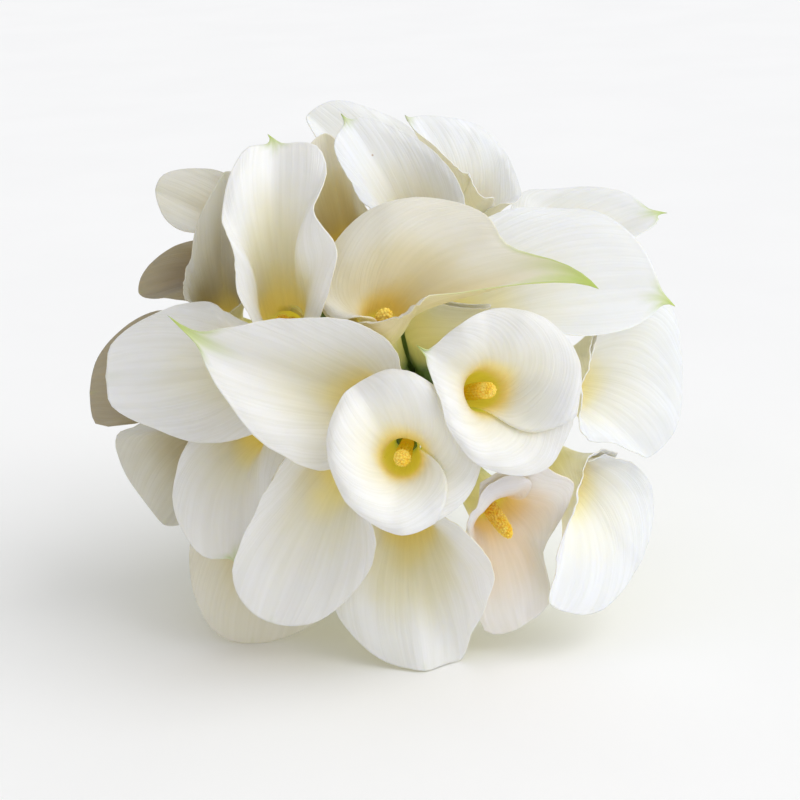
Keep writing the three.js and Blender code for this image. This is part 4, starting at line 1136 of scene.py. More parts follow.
@dataclass(frozen=True)
class PetalFinish:
    """A spathe's skin: green at the foot, cream in the throat, deepened there with painted shade, white at
    the margin, finely veined.

    The glows are painted light: an emission that stands for the daylight that comes through the thin wall
    of the tube.
    """

    tone: Tone
    white: Colour
    cream: Colour
    throat: Colour
    foot: Colour = (0.78, 0.74, 0.22)
    outer_foot: Colour = (0.22, 0.34, 0.06)
    outer_low: Colour = (0.60, 0.62, 0.24)
    outer_high: Colour = (0.86, 0.80, 0.50)
    tip: Colour = (0.36, 0.50, 0.09)
    vein: Colour = (0.60, 0.58, 0.40)
    speck: Colour = (0.42, 0.24, 0.09)
    dark: Colour = (0.0, 0.0, 0.0)
    # Painted light: emission colours that stand for the light that comes through the wall, deep in the
    # throat and on the outer side.
    deep_glow: Colour = (0.17, 0.16, 0.015)
    throat_glow: Colour = (0.13, 0.105, 0.02)
    outer_glow: Colour = (0.10, 0.09, 0.03)
    margin_glow: Colour = (0.06, 0.052, 0.025)
    wander: float = 0.07
    vein_count: float = 34.0
    vein_share: float = 0.15
    blotch_share: float = 0.10
    speck_share: float = 0.7
    streak_height: float = 0.5
    relief: tuple[float, float] = (0.42, 0.0004)
    roughness: tuple[float, float] = (0.39, 0.51)

    def material(self) -> bpy.types.Material:
        """Wires the skin.

        Returns:
            The material of this tone.
        """
        material, wiring, shader = begun_material(f"spathe_{self.tone.value}", self.white)
        across, along = wiring.attribute("across"), wiring.attribute("along")
        outside = wiring.attribute("outside")
        patches = wiring.group(mottle(), {"Size": 34.0, "Detail": 2.0})[0]
        moved = wiring.sum("MULTIPLY", wiring.sum("SUBTRACT", patches, 0.5), self.wander)
        level = wiring.sum("ADD", wiring.sum("MULTIPLY", along, 0.5), moved)
        veins = wiring.group(long_fibres(), {"Across": across, "Along": along, "Count": self.vein_count})
        skin = self.skin(wiring, level, outside, patches, veins["Streaks"])
        raised = wiring.sum("MULTIPLY", veins["Streaks"], self.streak_height)
        relief = wiring.sum("ADD", veins["Height"], raised)
        wiring.feed(shader, {
            "Base Color": skin,
            # Painted light: this emission stands for light that comes through the wall.
            "Emission Color": self.glow(wiring, level, outside),
            "Emission Strength": 1.0,
            "Roughness": wiring.between(patches, 0.0, 1.0, *self.roughness),
            "Normal": wiring.bump(relief, *self.relief),
            "Subsurface Weight": 0.4,
            "Subsurface Radius": (1.0, 0.8, 0.45),
            "Subsurface Scale": 0.0035,
            "Specular IOR Level": 0.4,
            "Sheen Weight": 0.06,
        })
        material.cycles.emission_sampling = "NONE"
        return material

    def skin(self, wiring: Wiring, level: bpy.types.NodeSocket, outside: bpy.types.NodeSocket,
             patches: bpy.types.NodeSocket, streaks: bpy.types.NodeSocket) -> bpy.types.NodeSocket:
        """Colours the skin.

        Args:
            wiring: the material's wiring.
            level: the place up the flower, from 0, its foot, to 1, its margin.
            outside: 1 on the outer side.
            patches: soft patches.
            streaks: fine veins.

        Returns:
            The colour.
        """
        # The cream and throat colours are partly the spathe's own cream and partly painted shade, deeper
        # and yellower towards the throat.
        inner = wiring.ramp(level, [(0.0, self.foot), (0.37, self.foot), (0.52, self.throat),
                                    (0.7, self.cream), (0.92, self.white), (1.0, self.white)])
        outer = wiring.ramp(level, [(0.0, self.outer_foot), (0.3, self.outer_low),
                                    (0.53, self.outer_high), (0.8, self.cream), (1.0, self.cream)])
        skin = wiring.blend(outside, inner, outer)
        veined = wiring.sum("MULTIPLY", streaks, self.vein_share)
        skin = wiring.blend(veined, skin, rgba(self.vein), "MULTIPLY")
        blotch = wiring.sum("MULTIPLY", patches, self.blotch_share)
        skin = wiring.blend(blotch, skin, rgba(self.cream))
        skin = wiring.blend(wiring.attribute("tip"), skin, rgba(self.tip))
        marks = wiring.group(specks(), {"Size": 62.0, "Reach": 0.045, "Share": 0.035})[0]
        marked = wiring.sum("MULTIPLY", marks, self.speck_share)
        return wiring.blend(marked, skin, rgba(self.speck))

    def glow(self, wiring: Wiring, level: bpy.types.NodeSocket,
             outside: bpy.types.NodeSocket) -> bpy.types.NodeSocket:
        """Colours the painted light, an emission that stands for the light that comes through the wall.

        Args:
            wiring: the material's wiring.
            level: the place up the flower, from 0, its foot, to 1, its margin.
            outside: 1 on the outer side.

        Returns:
            The colour.
        """
        inner = wiring.ramp(level, [(0.0, self.deep_glow), (0.4, self.deep_glow),
                                    (0.5, self.throat_glow), (0.68, self.dark)])
        outer = wiring.ramp(level, [(0.0, self.dark), (0.3, self.outer_glow),
                                    (0.6, self.outer_glow), (0.97, self.margin_glow)])
        return wiring.blend(outside, inner, outer)


# Each tone's white margin, cream middle and throat. The cream and throat colours are partly the flowers'
# own colour and partly painted shade deep in the throat.
TONES = {
    Tone.SNOW: ((0.85, 0.865, 0.88), (0.86, 0.85, 0.78), (0.84, 0.78, 0.50)),
    Tone.IVORY: ((0.925, 0.915, 0.885), (0.925, 0.89, 0.76), (0.91, 0.81, 0.45)),
    Tone.PEARL: ((0.905, 0.90, 0.875), (0.82, 0.77, 0.59), (0.73, 0.62, 0.28)),
    Tone.CREAM: ((0.84, 0.80, 0.70), (0.74, 0.645, 0.43), (0.70, 0.55, 0.21)),
    Tone.BLUSH: ((0.89, 0.84, 0.81), (0.85, 0.70, 0.58), (0.82, 0.60, 0.38)),
    # The last two tones are painted shade: darker greys that stand for the shade on the left-hand flowers.
    Tone.PAINTED_HALF_SHADE: ((0.66, 0.65, 0.61), (0.56, 0.53, 0.44), (0.50, 0.44, 0.26)),
    Tone.PAINTED_SHADE: ((0.31, 0.285, 0.245), (0.27, 0.24, 0.195), (0.26, 0.22, 0.14)),
}


@dataclass(frozen=True)
class SpadixFinish:
    """Golden grains: deeper between them, paler on top."""

    grain: Colour = (1.0, 0.66, 0.04)
    deep: Colour = (0.92, 0.48, 0.02)
    dusted: Colour = (1.0, 0.86, 0.28)
    dust_share: float = 0.55
    roughness: tuple[float, float] = (0.55, 0.75)

    def material(self) -> bpy.types.Material:
        """Wires the grains.

        Returns:
            The material of the spadices.
        """
        material, wiring, shader = begun_material("spadix_grains", self.grain)
        patches = wiring.group(mottle(), {"Size": 260.0, "Detail": 3.0})[0]
        body = wiring.blend(wiring.attribute("relief"), rgba(self.deep), rgba(self.grain))
        dust = wiring.sum("MULTIPLY", patches, self.dust_share)
        wiring.feed(shader, {
            "Base Color": wiring.blend(dust, body, rgba(self.dusted)),
            "Roughness": wiring.between(patches, 0.0, 1.0, *self.roughness),
            "Subsurface Weight": 0.15,
            "Subsurface Radius": (1.0, 0.5, 0.1),
            "Subsurface Scale": 0.001,
        })
        return material


@dataclass(frozen=True)
class StemFinish:
    """A calla's stem: mid green, paler in long streaks, with pale cut ends."""

    green: Colour = (0.13, 0.24, 0.045)
    pale: Colour = (0.27, 0.38, 0.11)
    upper: Colour = (0.34, 0.46, 0.14)
    pith: Colour = (0.52, 0.55, 0.28)
    streak_count: float = 26.0
    upper_share: float = 0.7
    patch_share: float = 0.25
    relief: tuple[float, float] = (0.5, 0.0004)
    roughness: tuple[float, float] = (0.34, 0.52)

    def material(self) -> bpy.types.Material:
        """Wires the skin of the stems.

        Returns:
            The material of the stems.
        """
        material, wiring, shader = begun_material("stem_skin", self.green)
        across, along = wiring.attribute("across"), wiring.attribute("along")
        fibres = wiring.group(long_fibres(), {"Across": across, "Along": along, "Count": self.streak_count})
        patches = wiring.group(mottle(), {"Size": 40.0, "Detail": 3.0})[0]
        skin = wiring.blend(fibres["Streaks"], rgba(self.green), rgba(self.pale))
        high = wiring.sum("MULTIPLY", wiring.between(along, 0.55, 1.0), self.upper_share)
        skin = wiring.blend(high, skin, rgba(self.upper))
        skin = wiring.blend(wiring.sum("MULTIPLY", patches, self.patch_share), skin, rgba(self.pale))
        wiring.feed(shader, {
            "Base Color": wiring.blend(wiring.attribute("cut"), skin, rgba(self.pith)),
            "Roughness": wiring.between(patches, 0.0, 1.0, *self.roughness),
            "Normal": wiring.bump(fibres["Height"], *self.relief),
            "Subsurface Weight": 0.1,
            "Subsurface Radius": (0.5, 1.0, 0.2),
            "Subsurface Scale": 0.001,
        })
        return material


@dataclass(frozen=True)
class SatinFinish:
    """Ivory satin: a fine weave that floats across the strip, with a soft shine."""

    thread: Colour = (0.84, 0.80, 0.70)
    shade: Colour = (0.66, 0.61, 0.50)
    threads_across: float = 160.0
    threads_along: float = 3400.0
    thread_heights: tuple[float, float] = (0.35, 0.15)
    shade_share: float = 0.4
    relief: tuple[float, float] = (0.3, 0.0001)
    roughness: tuple[float, float] = (0.28, 0.42)

    def material(self) -> bpy.types.Material:
        """Wires the satin.

        Returns:
            The material of the ribbon.
        """
        material, wiring, shader = begun_material("ribbon_satin", self.thread)
        across, along = wiring.attribute("across"), wiring.attribute("along")
        warp = wiring.sum("SINE", wiring.sum("MULTIPLY", across, self.threads_across * math.pi))
        weft = wiring.sum("SINE", wiring.sum("MULTIPLY", along, self.threads_along * math.pi))
        raised, sunk = self.thread_heights
        weave = wiring.sum("ADD", wiring.sum("MULTIPLY", warp, raised), wiring.sum("MULTIPLY", weft, sunk))
        inputs = {"Across": across, "Along": along, "Count": 44.0, "Change": 30.0}
        slubs = wiring.group(long_fibres(), inputs)
        patches = wiring.group(mottle(), {"Size": 60.0, "Detail": 2.0})[0]
        shaded = wiring.sum("MULTIPLY", slubs["Streaks"], self.shade_share)
        wiring.feed(shader, {
            "Base Color": wiring.blend(shaded, rgba(self.thread), rgba(self.shade)),
            "Roughness": wiring.between(patches, 0.0, 1.0, *self.roughness),
            "Normal": wiring.bump(wiring.sum("ADD", weave, slubs["Height"]), *self.relief),
            "Sheen Weight": 0.3,
            "Sheen Roughness": 0.35,
            "Anisotropic": 0.4,
        })
        return material


@dataclass(frozen=True)
class FloorFinish:
    """A plain pale floor with a hardly seen tooth."""

    pale: Colour = (0.965, 0.97, 0.98)
    shade: Colour = (0.95, 0.955, 0.965)

    def material(self) -> bpy.types.Material:
        """Wires the floor.

        Returns:
            The material of the floor.
        """
        material, wiring, shader = begun_material("pale_floor", self.pale)
        patches = wiring.group(mottle(), {"Size": 6.0, "Detail": 4.0})[0]
        colour = wiring.blend(patches, rgba(self.pale), rgba(self.shade))
        wiring.feed(shader, {"Base Color": colour, "Roughness": 0.8, "Specular IOR Level": 0.1})
        return material


def linked(name: str, data: bpy.types.ID) -> bpy.types.Object:
    """Adds an object to the scene, at the origin.

    Args:
        name: the object's name.
        data: its mesh, curve, light or camera.

    Returns:
        The object.
    """
    made = bpy.data.objects.new(name, data)
    bpy.context.scene.collection.objects.link(made)
    return made


def made_mesh(name: str, points: Array, faces: list, marks: dict[str, Array],
              material: bpy.types.Material) -> bpy.types.Object:
    """A smooth mesh object at the origin, with numbers kept on its points.

    Args:
        name: the object's name.
        points: places in metres.
        faces: the points of each face, outwards.
        marks: numbers for each point, by attribute name.
        material: its finish.

    Returns:
        The object, linked to the scene.
    """
    mesh = bpy.data.meshes.new(name)
    mesh.from_pydata(points.tolist(), [], faces)
    mesh.polygons.foreach_set("use_smooth", np.ones(len(mesh.polygons), bool))
    for label, values in marks.items():
        layer = mesh.attributes.new(label, "FLOAT", "POINT")
        layer.data.foreach_set("value", np.asarray(values, np.float32).ravel())
    mesh.materials.append(material)
    mesh.update()
    return linked(name, mesh)


def shell_faces(rows: int, columns: int) -> list[tuple[int, int, int, int]]:
    """Lists the faces of a closed thin sheet, two grids of points with walls between.

    Args:
        rows: how many rows of points each grid has.
        columns: how many points each row has.

    Returns:
        The points of each face, where the outer grid's points come first.
    """
    i, j = np.meshgrid(np.arange(rows - 1), np.arange(columns - 1), indexing="ij")
    a = (i * columns + j).ravel()
    outer = np.stack([a, a + 1, a + columns + 1, a + columns], 1)
    inner = outer[:, ::-1] + rows * columns
    far = rows * columns
    foot = np.arange(columns - 1)
    top = foot + (rows - 1) * columns
    side = np.arange(rows - 1) * columns
    end = side + columns - 1
    walls = [
        np.stack([foot, foot + far, foot + far + 1, foot + 1], 1),
        np.stack([top, top + 1, top + far + 1, top + far], 1),
        np.stack([side, side + columns, side + columns + far, side + far], 1),
        np.stack([end, end + far, end + columns + far, end + columns], 1),
    ]
    return [tuple(face) for face in np.concatenate([outer, inner, *walls]).tolist()]


def made_sheet(name: str, middle: Array, half: Array | float, marks: dict[str, Array],
               finish: bpy.types.Material) -> bpy.types.Object:
    """A closed thin sheet, half its thickness to each side of a grid of places.

    Args:
        name: the object's name.
        middle: the grid, in the bouquet's own frame.
        half: half the thickness.
        marks: numbers for each place of the grid, by attribute name.
        finish: its material.

    Returns:
        The sheet, linked to the scene.
    """
    ways = outward(middle)
    both = np.concatenate([(middle + ways * half).reshape(-1, 3), (middle - ways * half).reshape(-1, 3)])
    points = lie(both)
    points[:, 2] = np.maximum(points[:, 2], LOWEST)
    twice = {label: np.concatenate([values.ravel()] * 2) for label, values in marks.items()}
    twice["outside"] = np.repeat([1.0, 0.0], len(points) // 2)
    return made_mesh(name, points, shell_faces(*middle.shape[:2]), twice, finish)


@functools.cache
def grains() -> bpy.types.NodeTree:
    """Builds the tree that covers a core with small round grains, set apart at random.

    Returns:
        The tree.
    """
    sizes = {"Geometry": ("Geometry", None), "Grain": ("Float", 0.0005), "Apart": ("Float", 0.0008),
             "Seed": ("Int", 1), "Finish": ("Material", None)}
    wiring, start, end = begun_group("grains", "Geometry", sizes, {"Geometry": "Geometry"})
    bare = wiring.add("GeometryNodeInputNamedAttribute", {"Name": "covered"}, data_type="FLOAT")
    spots = wiring.add("GeometryNodeDistributePointsOnFaces",
                       {"Mesh": start["Geometry"], "Selection": bare.outputs["Attribute"],
                        "Distance Min": start["Apart"], "Density Max": 4.0e6,
                        "Seed": start["Seed"]}, distribute_method="POISSON").outputs
    ball = wiring.add("GeometryNodeMeshUVSphere", {"Segments": 7, "Rings": 4, "Radius": start["Grain"]})
    size = wiring.add("FunctionNodeRandomValue", {2: 0.75, 3: 1.2, 8: start["Seed"]}, data_type="FLOAT")
    marked = kept_number(wiring, ball.outputs["Mesh"], "relief", 1.0)
    many = wiring.add("GeometryNodeInstanceOnPoints",
                      {"Points": spots["Points"], "Instance": marked,
                       "Rotation": spots["Rotation"], "Scale": size.outputs[1]})
    real = wiring.add("GeometryNodeRealizeInstances", {"Geometry": many.outputs[0]})
    both = wiring.add("GeometryNodeJoinGeometry")
    for part in (start["Geometry"], real.outputs[0]):
        wiring.tree.links.new(part, both.inputs[0])
    dressed(wiring, both.outputs[0], start["Finish"], end)
    return wiring.tree


@functools.cache
def stalks() -> bpy.types.NodeTree:
    """Builds the tree that sweeps a round section along each line, by the line's own radius.

    Returns:
        The tree.
    """
    sizes = {"Geometry": ("Geometry", None), "Sides": ("Int", 16), "Finish": ("Material", None)}
    wiring, start, end = begun_group("stalks", "Geometry", sizes, {"Geometry": "Geometry"})
    radius = wiring.add("GeometryNodeInputRadius").outputs[0]
    place = wiring.add("GeometryNodeSplineParameter").outputs
    cut = wiring.sum("LESS_THAN", place["Index"], 1.5)
    lined = kept_number(wiring, start["Geometry"], "along", place["Factor"])
    ended = kept_number(wiring, lined, "cut", cut)
    ring = wiring.add("GeometryNodeCurvePrimitiveCircle", {"Resolution": start["Sides"], "Radius": 1.0})
    round_place = wiring.add("GeometryNodeSplineParameter").outputs["Factor"]
    waved = wiring.sum("SINE", wiring.sum("MULTIPLY", round_place, 2 * math.pi))
    section = kept_number(wiring, ring.outputs["Curve"], "across", waved)
    swept = wiring.add("GeometryNodeCurveToMesh", {"Curve": ended, "Profile Curve": section,
                                                   "Scale": radius, "Fill Caps": True})
    real = wiring.add("GeometryNodeRealizeInstances", {"Geometry": swept.outputs[0]})
    dressed(wiring, real.outputs[0], start["Finish"], end)
    return wiring.tree


def kept_number(wiring: Wiring, shape: bpy.types.NodeSocket, name: str,
                value: object) -> bpy.types.NodeSocket:
    """Keeps a number on the points of a shape.

    Args:
        wiring: the tree's wiring.
        shape: the shape.
        name: the number's name.
        value: the number, or the socket that gives it.

    Returns:
        The shape with the number.
    """
    inputs = {"Geometry": shape, "Name": name, "Value": value}
    kind = "GeometryNodeStoreNamedAttribute"
    return wiring.add(kind, inputs, data_type="FLOAT", domain="POINT").outputs[0]


def dressed(wiring: Wiring, shape: bpy.types.NodeSocket, finish: bpy.types.NodeSocket,
            end: bpy.types.Node) -> None:
    """Ends a tree with its shape, smooth and with its material.

    Args:
        wiring: the tree's wiring.
        shape: the shape.
        finish: the material.
        end: the tree's output node.
    """
    soft = wiring.add("GeometryNodeSetShadeSmooth", {0: shape}).outputs[0]
    done = wiring.add("GeometryNodeSetMaterial", {"Geometry": soft, "Material": finish})
    wiring.feed(end, {0: done.outputs[0]})


def grown(source: bpy.types.Object, tree: bpy.types.NodeTree, name: str,
          inputs: dict[str, object]) -> bpy.types.Object:
    """A tree's result on a source object, as a plain mesh object.

    Args:
        source: the object that the tree starts from, which is then removed.
        tree: the tree.
        name: the new object's name.
        inputs: values for the tree's named inputs.

    Returns:
        The new object.
    """
    modifier = source.modifiers.new(tree.name, "NODES")
    modifier.node_group = tree
    keys = {i.name: i.identifier for i in tree.interface.items_tree if i.in_out == "INPUT"}
    for label, value in inputs.items():
        modifier[keys[label]] = value
    graph = bpy.context.evaluated_depsgraph_get()
    mesh = bpy.data.meshes.new_from_object(source.evaluated_get(graph))
    mesh.name = name
    source.modifiers.remove(modifier)
    bpy.data.objects.remove(source)
    return linked(name, mesh)


def settled(piece: bpy.types.Object, node: str) -> bpy.types.Object:
    """Makes a finished piece stand for its solid and ride with the bouquet.

    Args:
        piece: the piece.
        node: the node that it replaces.

    Returns:
        The piece.
    """
    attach(piece, "root")
    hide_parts(node)
    log.info("%s: %d faces", piece.name, len(piece.data.polygons))
    return piece


@dataclass
class Spathe:
    """One flower's white sheet, thin at its margin."""

    flower: Calla
    order: int
    thick: float = 0.8
    thin: float = 0.42
    tube_rows: int = 9
    blade_rows: int = 32
    side_columns: int = 42
    near_tip: tuple[float, ...] = (0.0, 0.004, 0.009, 0.016, 0.026, 0.04)
    beside_tip: float = 0.06
    towards_margin: float = 1.3
    thins_from: float = 0.3
    thins_over: float = 0.7
    veins_apart: float = 3.7
    veins_gather: float = 0.55
    green_width: float = 0.045
    green_from: float = 0.94
    green_longer: float = 0.0075
    least_green: float = 0.12
    tail_green: float = 0.88
    full_tail: float = 5.0
    line_tail: float = 6.0
    line_green: float = 0.8
    line_width: float = 3.2

    def columns(self) -> Array:
        """Places across the sheet, close together at the tip."""
        half = np.concatenate([self.near_tip, np.linspace(self.beside_tip, 1.0, self.side_columns)])
        return np.concatenate([-half[:0:-1], half])

    def rows(self) -> Array:
        """Places up the sheet, closer together towards the margin."""
        blade = 2 - (1 - np.linspace(0, 1, self.blade_rows)) ** self.towards_margin
        return np.concatenate([np.linspace(0, 1, self.tube_rows)[:-1], blade])

    def build(self, finish: bpy.types.Material) -> bpy.types.Object:
        """Makes the closed sheet.

        Args:
            finish: the material of this flower's tone.

        Returns:
            The spathe.
        """
        v, rise = self.columns(), self.rows()
        q = np.clip(rise - 1, 0, 1)
        thinned = smooth((q - self.thins_from) / self.thins_over)
        half = 0.5 * (self.thick + (self.thin - self.thick) * thinned)
        name = self.flower.name
        made = made_sheet(f"calla_spathe_{name}", self.flower.sheet(v, rise), half[:, None, None],
                          self.marks(v, rise), finish)
        return settled(made, f"spathe_{name}")

    def marks(self, v: Array, rise: Array) -> dict[str, Array]:
        """Finds the numbers that the finish reads.

        Args:
            v: places across the sheet, one for each column.
            rise: places up the sheet, one for each row.

        Returns:
            The places across and along the veins, and how green the tip is.
        """
        flower = self.flower
        wide, high = np.meshgrid(v, rise)
        q = np.clip(high - 1, 0, 1)
        away = np.abs(wrapped(flower.angle(wide, high)))
        across = wide / (1 - self.veins_gather * q**2) + self.veins_apart * self.order
        green = self.least_green + self.tail_green * min(flower.tail / self.full_tail, 1.0)
        width = self.green_width * (0.35 + min(0.05 * flower.point, 1.35))
        start = self.green_from - self.green_longer * (flower.tail + flower.point)
        tip = green * np.exp(-((away / width) ** 1.5)) * smooth((q - start) / (1 - start))
        lined = min(flower.tail / self.line_tail, 1.0) * smooth((q - 0.955) / 0.035)
        line = self.line_green * lined * np.exp(-((away / (self.line_width * width)) ** 2))
        tip = np.maximum(tip, line)
        return {"across": across, "along": high, "tip": tip}


@dataclass
class Spadix:
    """The yellow finger in a flower's throat, covered with grains."""

    flower: Calla
    order: int
    shown: bool
    sides: int = 16
    grain: float = 0.62
    apart: float = 0.92
    relief: float = 0.38
    coarse: float = 1.35
    low_steps: int = 8
    bare_rings: int = 4
    heights: tuple[float, ...] = (0.2, 0.4, 0.6, 0.75, 0.86, 0.94, 0.985, 1.0)
    shares: tuple[float, ...] = (0.93, 0.92, 0.88, 0.8, 0.66, 0.45, 0.22, 0.04)

    def line(self) -> tuple[Array, Array]:
        """Draws the finger's middle line.

        Returns:
            The line from inside the tube to the rounded top, and the radius along it.
        """
        flower = self.flower
        inside, _ = flower.spine(np.linspace(-1 + SPIGOT_SHARE + 0.015, 0, self.low_steps))
        above = flower.centre + flower.axis * (np.array(self.heights) * (flower.spadix + 1.2))[:, None]
        radii = np.concatenate([np.full(self.low_steps, self.shares[0]), self.shares])
        return np.concatenate([inside, above]), radii * (SPADIX_RADIUS - self.relief)

    def build(self, finish: bpy.types.Material) -> bpy.types.Object:
        """Makes the core and grows the grains on it.

        Args:
            finish: the grains' material.

        Returns:
            The spadix.
        """
        line, radii = self.line()
        along = unit(np.gradient(line, axis=0))
        side = unit(np.cross(along, np.array([0.31, 0.95, 0.05])))
        other = np.cross(along, side)
        turn = 2 * math.pi * np.arange(self.sides) / self.sides
        rings = line[:, None] + radii[:, None, None] * (
            side[:, None] * np.cos(turn)[None, :, None] + other[:, None] * np.sin(turn)[None, :, None])
        count = self.sides
        faces = []
        for k in range(len(line) - 1):
            for i in range(count):
                j = (i + 1) % count
                faces.append((k * count + i, k * count + j, (k + 1) * count + j, (k + 1) * count + i))
        faces.append(tuple(range(count - 1, -1, -1)))
        faces.append(tuple((len(line) - 1) * count + i for i in range(count)))
        points = lie(rings.reshape(-1, 3))
        covered = np.repeat((np.arange(len(line)) >= self.bare_rings).astype(float), count)
        marks = {"covered": covered, "relief": np.zeros(len(points))}
        core = made_mesh("core", points, faces, marks, finish)
        scale = 1.0 if self.shown else self.coarse
        sizes = {"Grain": self.grain * scale / MM, "Apart": self.apart * scale / MM,
                 "Seed": 11 + self.order, "Finish": finish}
        name = self.flower.name
        made = grown(core, grains(), f"calla_spadix_{name}", sizes)
        return settled(made, f"spadix_{name}")


@dataclass
class StemGroup:
    """Three neighbouring stems, from their cut ends to inside the spathes."""

    posy: Posy
    members: list[int]
    number: int
    sides: int = 18
    steps: int = 90
    below_bind: float = 6.0
    lowest_row: float = -2.2
    eased_knots: int = 4
    shoulder_room: float = 0.6

    def path(self, index: int, pressed: Array) -> tuple[Array, Array]:
        """Draws one stem's middle line.

        Args:
            index: the flower's place in the list of flowers.
            pressed: where the stem stands under the ribbon.

        Returns:
            The line, cut end first, and the radius along it.
        """
        flower, place = self.posy.flowers[index], self.posy.places[index]
        longest = place[1] < self.lowest_row * PITCH
        end = STEM_END_W + (0 if longest else END_STEP * (1 + (index * 5) % 3))
        bind = BIND_W - self.below_bind
        shoulder, up = flower.spine(np.array(-1.0))
        knots = [np.array([*pressed, w]) for w in (end, 0.5 * (end + bind), bind)]
        path = flower.stem_path[::-1]
        for n in range(1, len(path) - 1, 3):
            share = float(smooth(1 - n / self.eased_knots))
            shifted = np.array([*((pressed - place) * share), 0.0])
            knots.append(path[n] + shifted)
        knots.append(shoulder - up * (FIT + self.shoulder_room))
        knots = np.array(knots)
        gaps = np.linalg.norm(np.diff(knots, axis=0), axis=1)
        reach = np.concatenate([[0], np.cumsum(gaps)])
        line = carried(np.linspace(0, reach[-1], self.steps), reach) @ knots
        spigot = flower.spine(np.array([-1.0, -1 + SPIGOT_SHARE]))[0]
        spigot[0] -= up * FIT
        radii = np.concatenate([np.full(self.steps, STEM_RADIUS), [SPIGOT_RADIUS, SPIGOT_RADIUS]])
        return np.concatenate([line, spigot]), radii

    def build(self, finish: bpy.types.Material) -> bpy.types.Object:
        """Sweeps the stems along their lines.

        Args:
            finish: the stems' material.

        Returns:
            The group of stems.
        """
        curve = bpy.data.curves.new("stem_lines", "CURVE")
        curve.dimensions = "3D"
        for index, pressed in zip(self.members, self.posy.pressed(self.members)):
            line, radii = self.path(index, pressed)
            spline = curve.splines.new("POLY")
            spline.points.add(len(line) - 1)
            flat = np.concatenate([lie(line), np.ones((len(line), 1))], 1)
            spline.points.foreach_set("co", flat.ravel())
            spline.points.foreach_set("radius", radii / MM)
        inputs = {"Sides": self.sides, "Finish": finish}
        made = grown(linked("stem_lines", curve), stalks(), f"calla_stems_{self.number}", inputs)
        return settled(made, f"stems_{self.number}")


@dataclass
class Ribbon:
    """The satin strip wound down the stems, each turn lapping the one above."""

    posy: Posy
    groups: list[list[int]]
    steps_to_turn: int = 72
    across: int = 20
    crease: float = 0.35
    room: float = 0.3
    stand_off: float = 0.35
    cloth: float = 0.6
    fold_counts: tuple[int, ...] = (3, 7, 11)
    fold_shares: tuple[float, ...] = (0.5, 0.3, 0.2)
    fold_turns: tuple[float, ...] = (0.6, -0.9, 1.3)

    def supports(self) -> list[tuple[float, float]]:
        """Finds how far the stems reach in each direction.

        Returns:
            The angles and how far the stems reach there.
        """
        spots = np.concatenate([self.posy.pressed(group) for group in self.groups])
        out = []
        for k in range(SUPPORTS):
            a = 2 * math.pi * k / SUPPORTS
            out.append((a, float((spots @ np.array([math.cos(a), math.sin(a)])).max()) + STEM_RADIUS))
        return out

    def reach(self, supports: list[tuple[float, float]], a: Array) -> Array:
        """Finds the radius of the tight line round the stems.

        Args:
            supports: how far the stems reach in each direction.
            a: the angles where it is wanted.

        Returns:
            The radius at each angle.
        """
        best = np.full(a.shape, 1e9)
        for b, far in supports:
            facing = np.cos(b - a)
            best = np.minimum(best, np.where(facing > 0.25, far / np.maximum(facing, 0.25), 1e9))
        return best

    def folds(self, a: Array, c: Array) -> Array:
        """Draws the soft folds along the strip.

        Args:
            a: angles along the winding.
            c: places across the strip, from 0 to 1.

        Returns:
            How far the folds stand out.
        """
        phases = np.random.default_rng(5).uniform(0, 6, 3)
        waves = zip(self.fold_counts, self.fold_shares, phases, self.fold_turns)
        fold = sum(share * np.sin(count * a + phase + turn * c * 6) for count, share, phase, turn in waves)
        return self.crease * fold * np.sin(math.pi * c) * (0.6 + 0.4 * np.sin(9.0 * c + a))

    def build(self, finish: bpy.types.Material) -> bpy.types.Object:
        """Args:
            finish: the satin.

        Returns:
            The ribbon.
        """
        supports = self.supports()
        a = 2 * math.pi * np.arange(0, RIBBON_TURNS * self.steps_to_turn + 0.5) / self.steps_to_turn
        half = math.pi / RIBBON_STEPS
        widest = np.max([self.reach(supports, a + half * s) for s in (-1, -0.5, 0, 0.5, 1)], axis=0)
        drop = (RIBBON_FROM_W - RIBBON_TO_W - RIBBON_WIDTH) / RIBBON_TURNS
        c = np.linspace(0, 1, self.across)[:, None]
        radius = widest / math.cos(half) + FIT + self.room + RIBBON_THICK / 2
        radius = radius[None, :] + RIBBON_LIFT * c + self.stand_off + self.folds(a, c) * 0.6
        high = RIBBON_FROM_W - drop * a[None, :] / (2 * math.pi) - RIBBON_WIDTH * (1 - c)
        strip = np.stack([radius * np.cos(a), radius * np.sin(a), np.broadcast_to(high, radius.shape)], -1)
        strip = strip.transpose(1, 0, 2)
        run = np.concatenate([[0], np.cumsum(np.linalg.norm(np.diff(strip.mean(1), axis=0), axis=1))])
        along, wide = np.broadcast_arrays(run[:, None] / MM, c[:, 0][None, :])
        made = made_sheet("satin_ribbon", strip, 0.5 * self.cloth, {"along": along, "across": wide}, finish)
        settled(made, "ribbon")
        rests = [f"calla_stems_{k + 1}" for k in range(len(self.groups))]
        log.info("ribbon: %.0f mm long", run[-1])
        return made


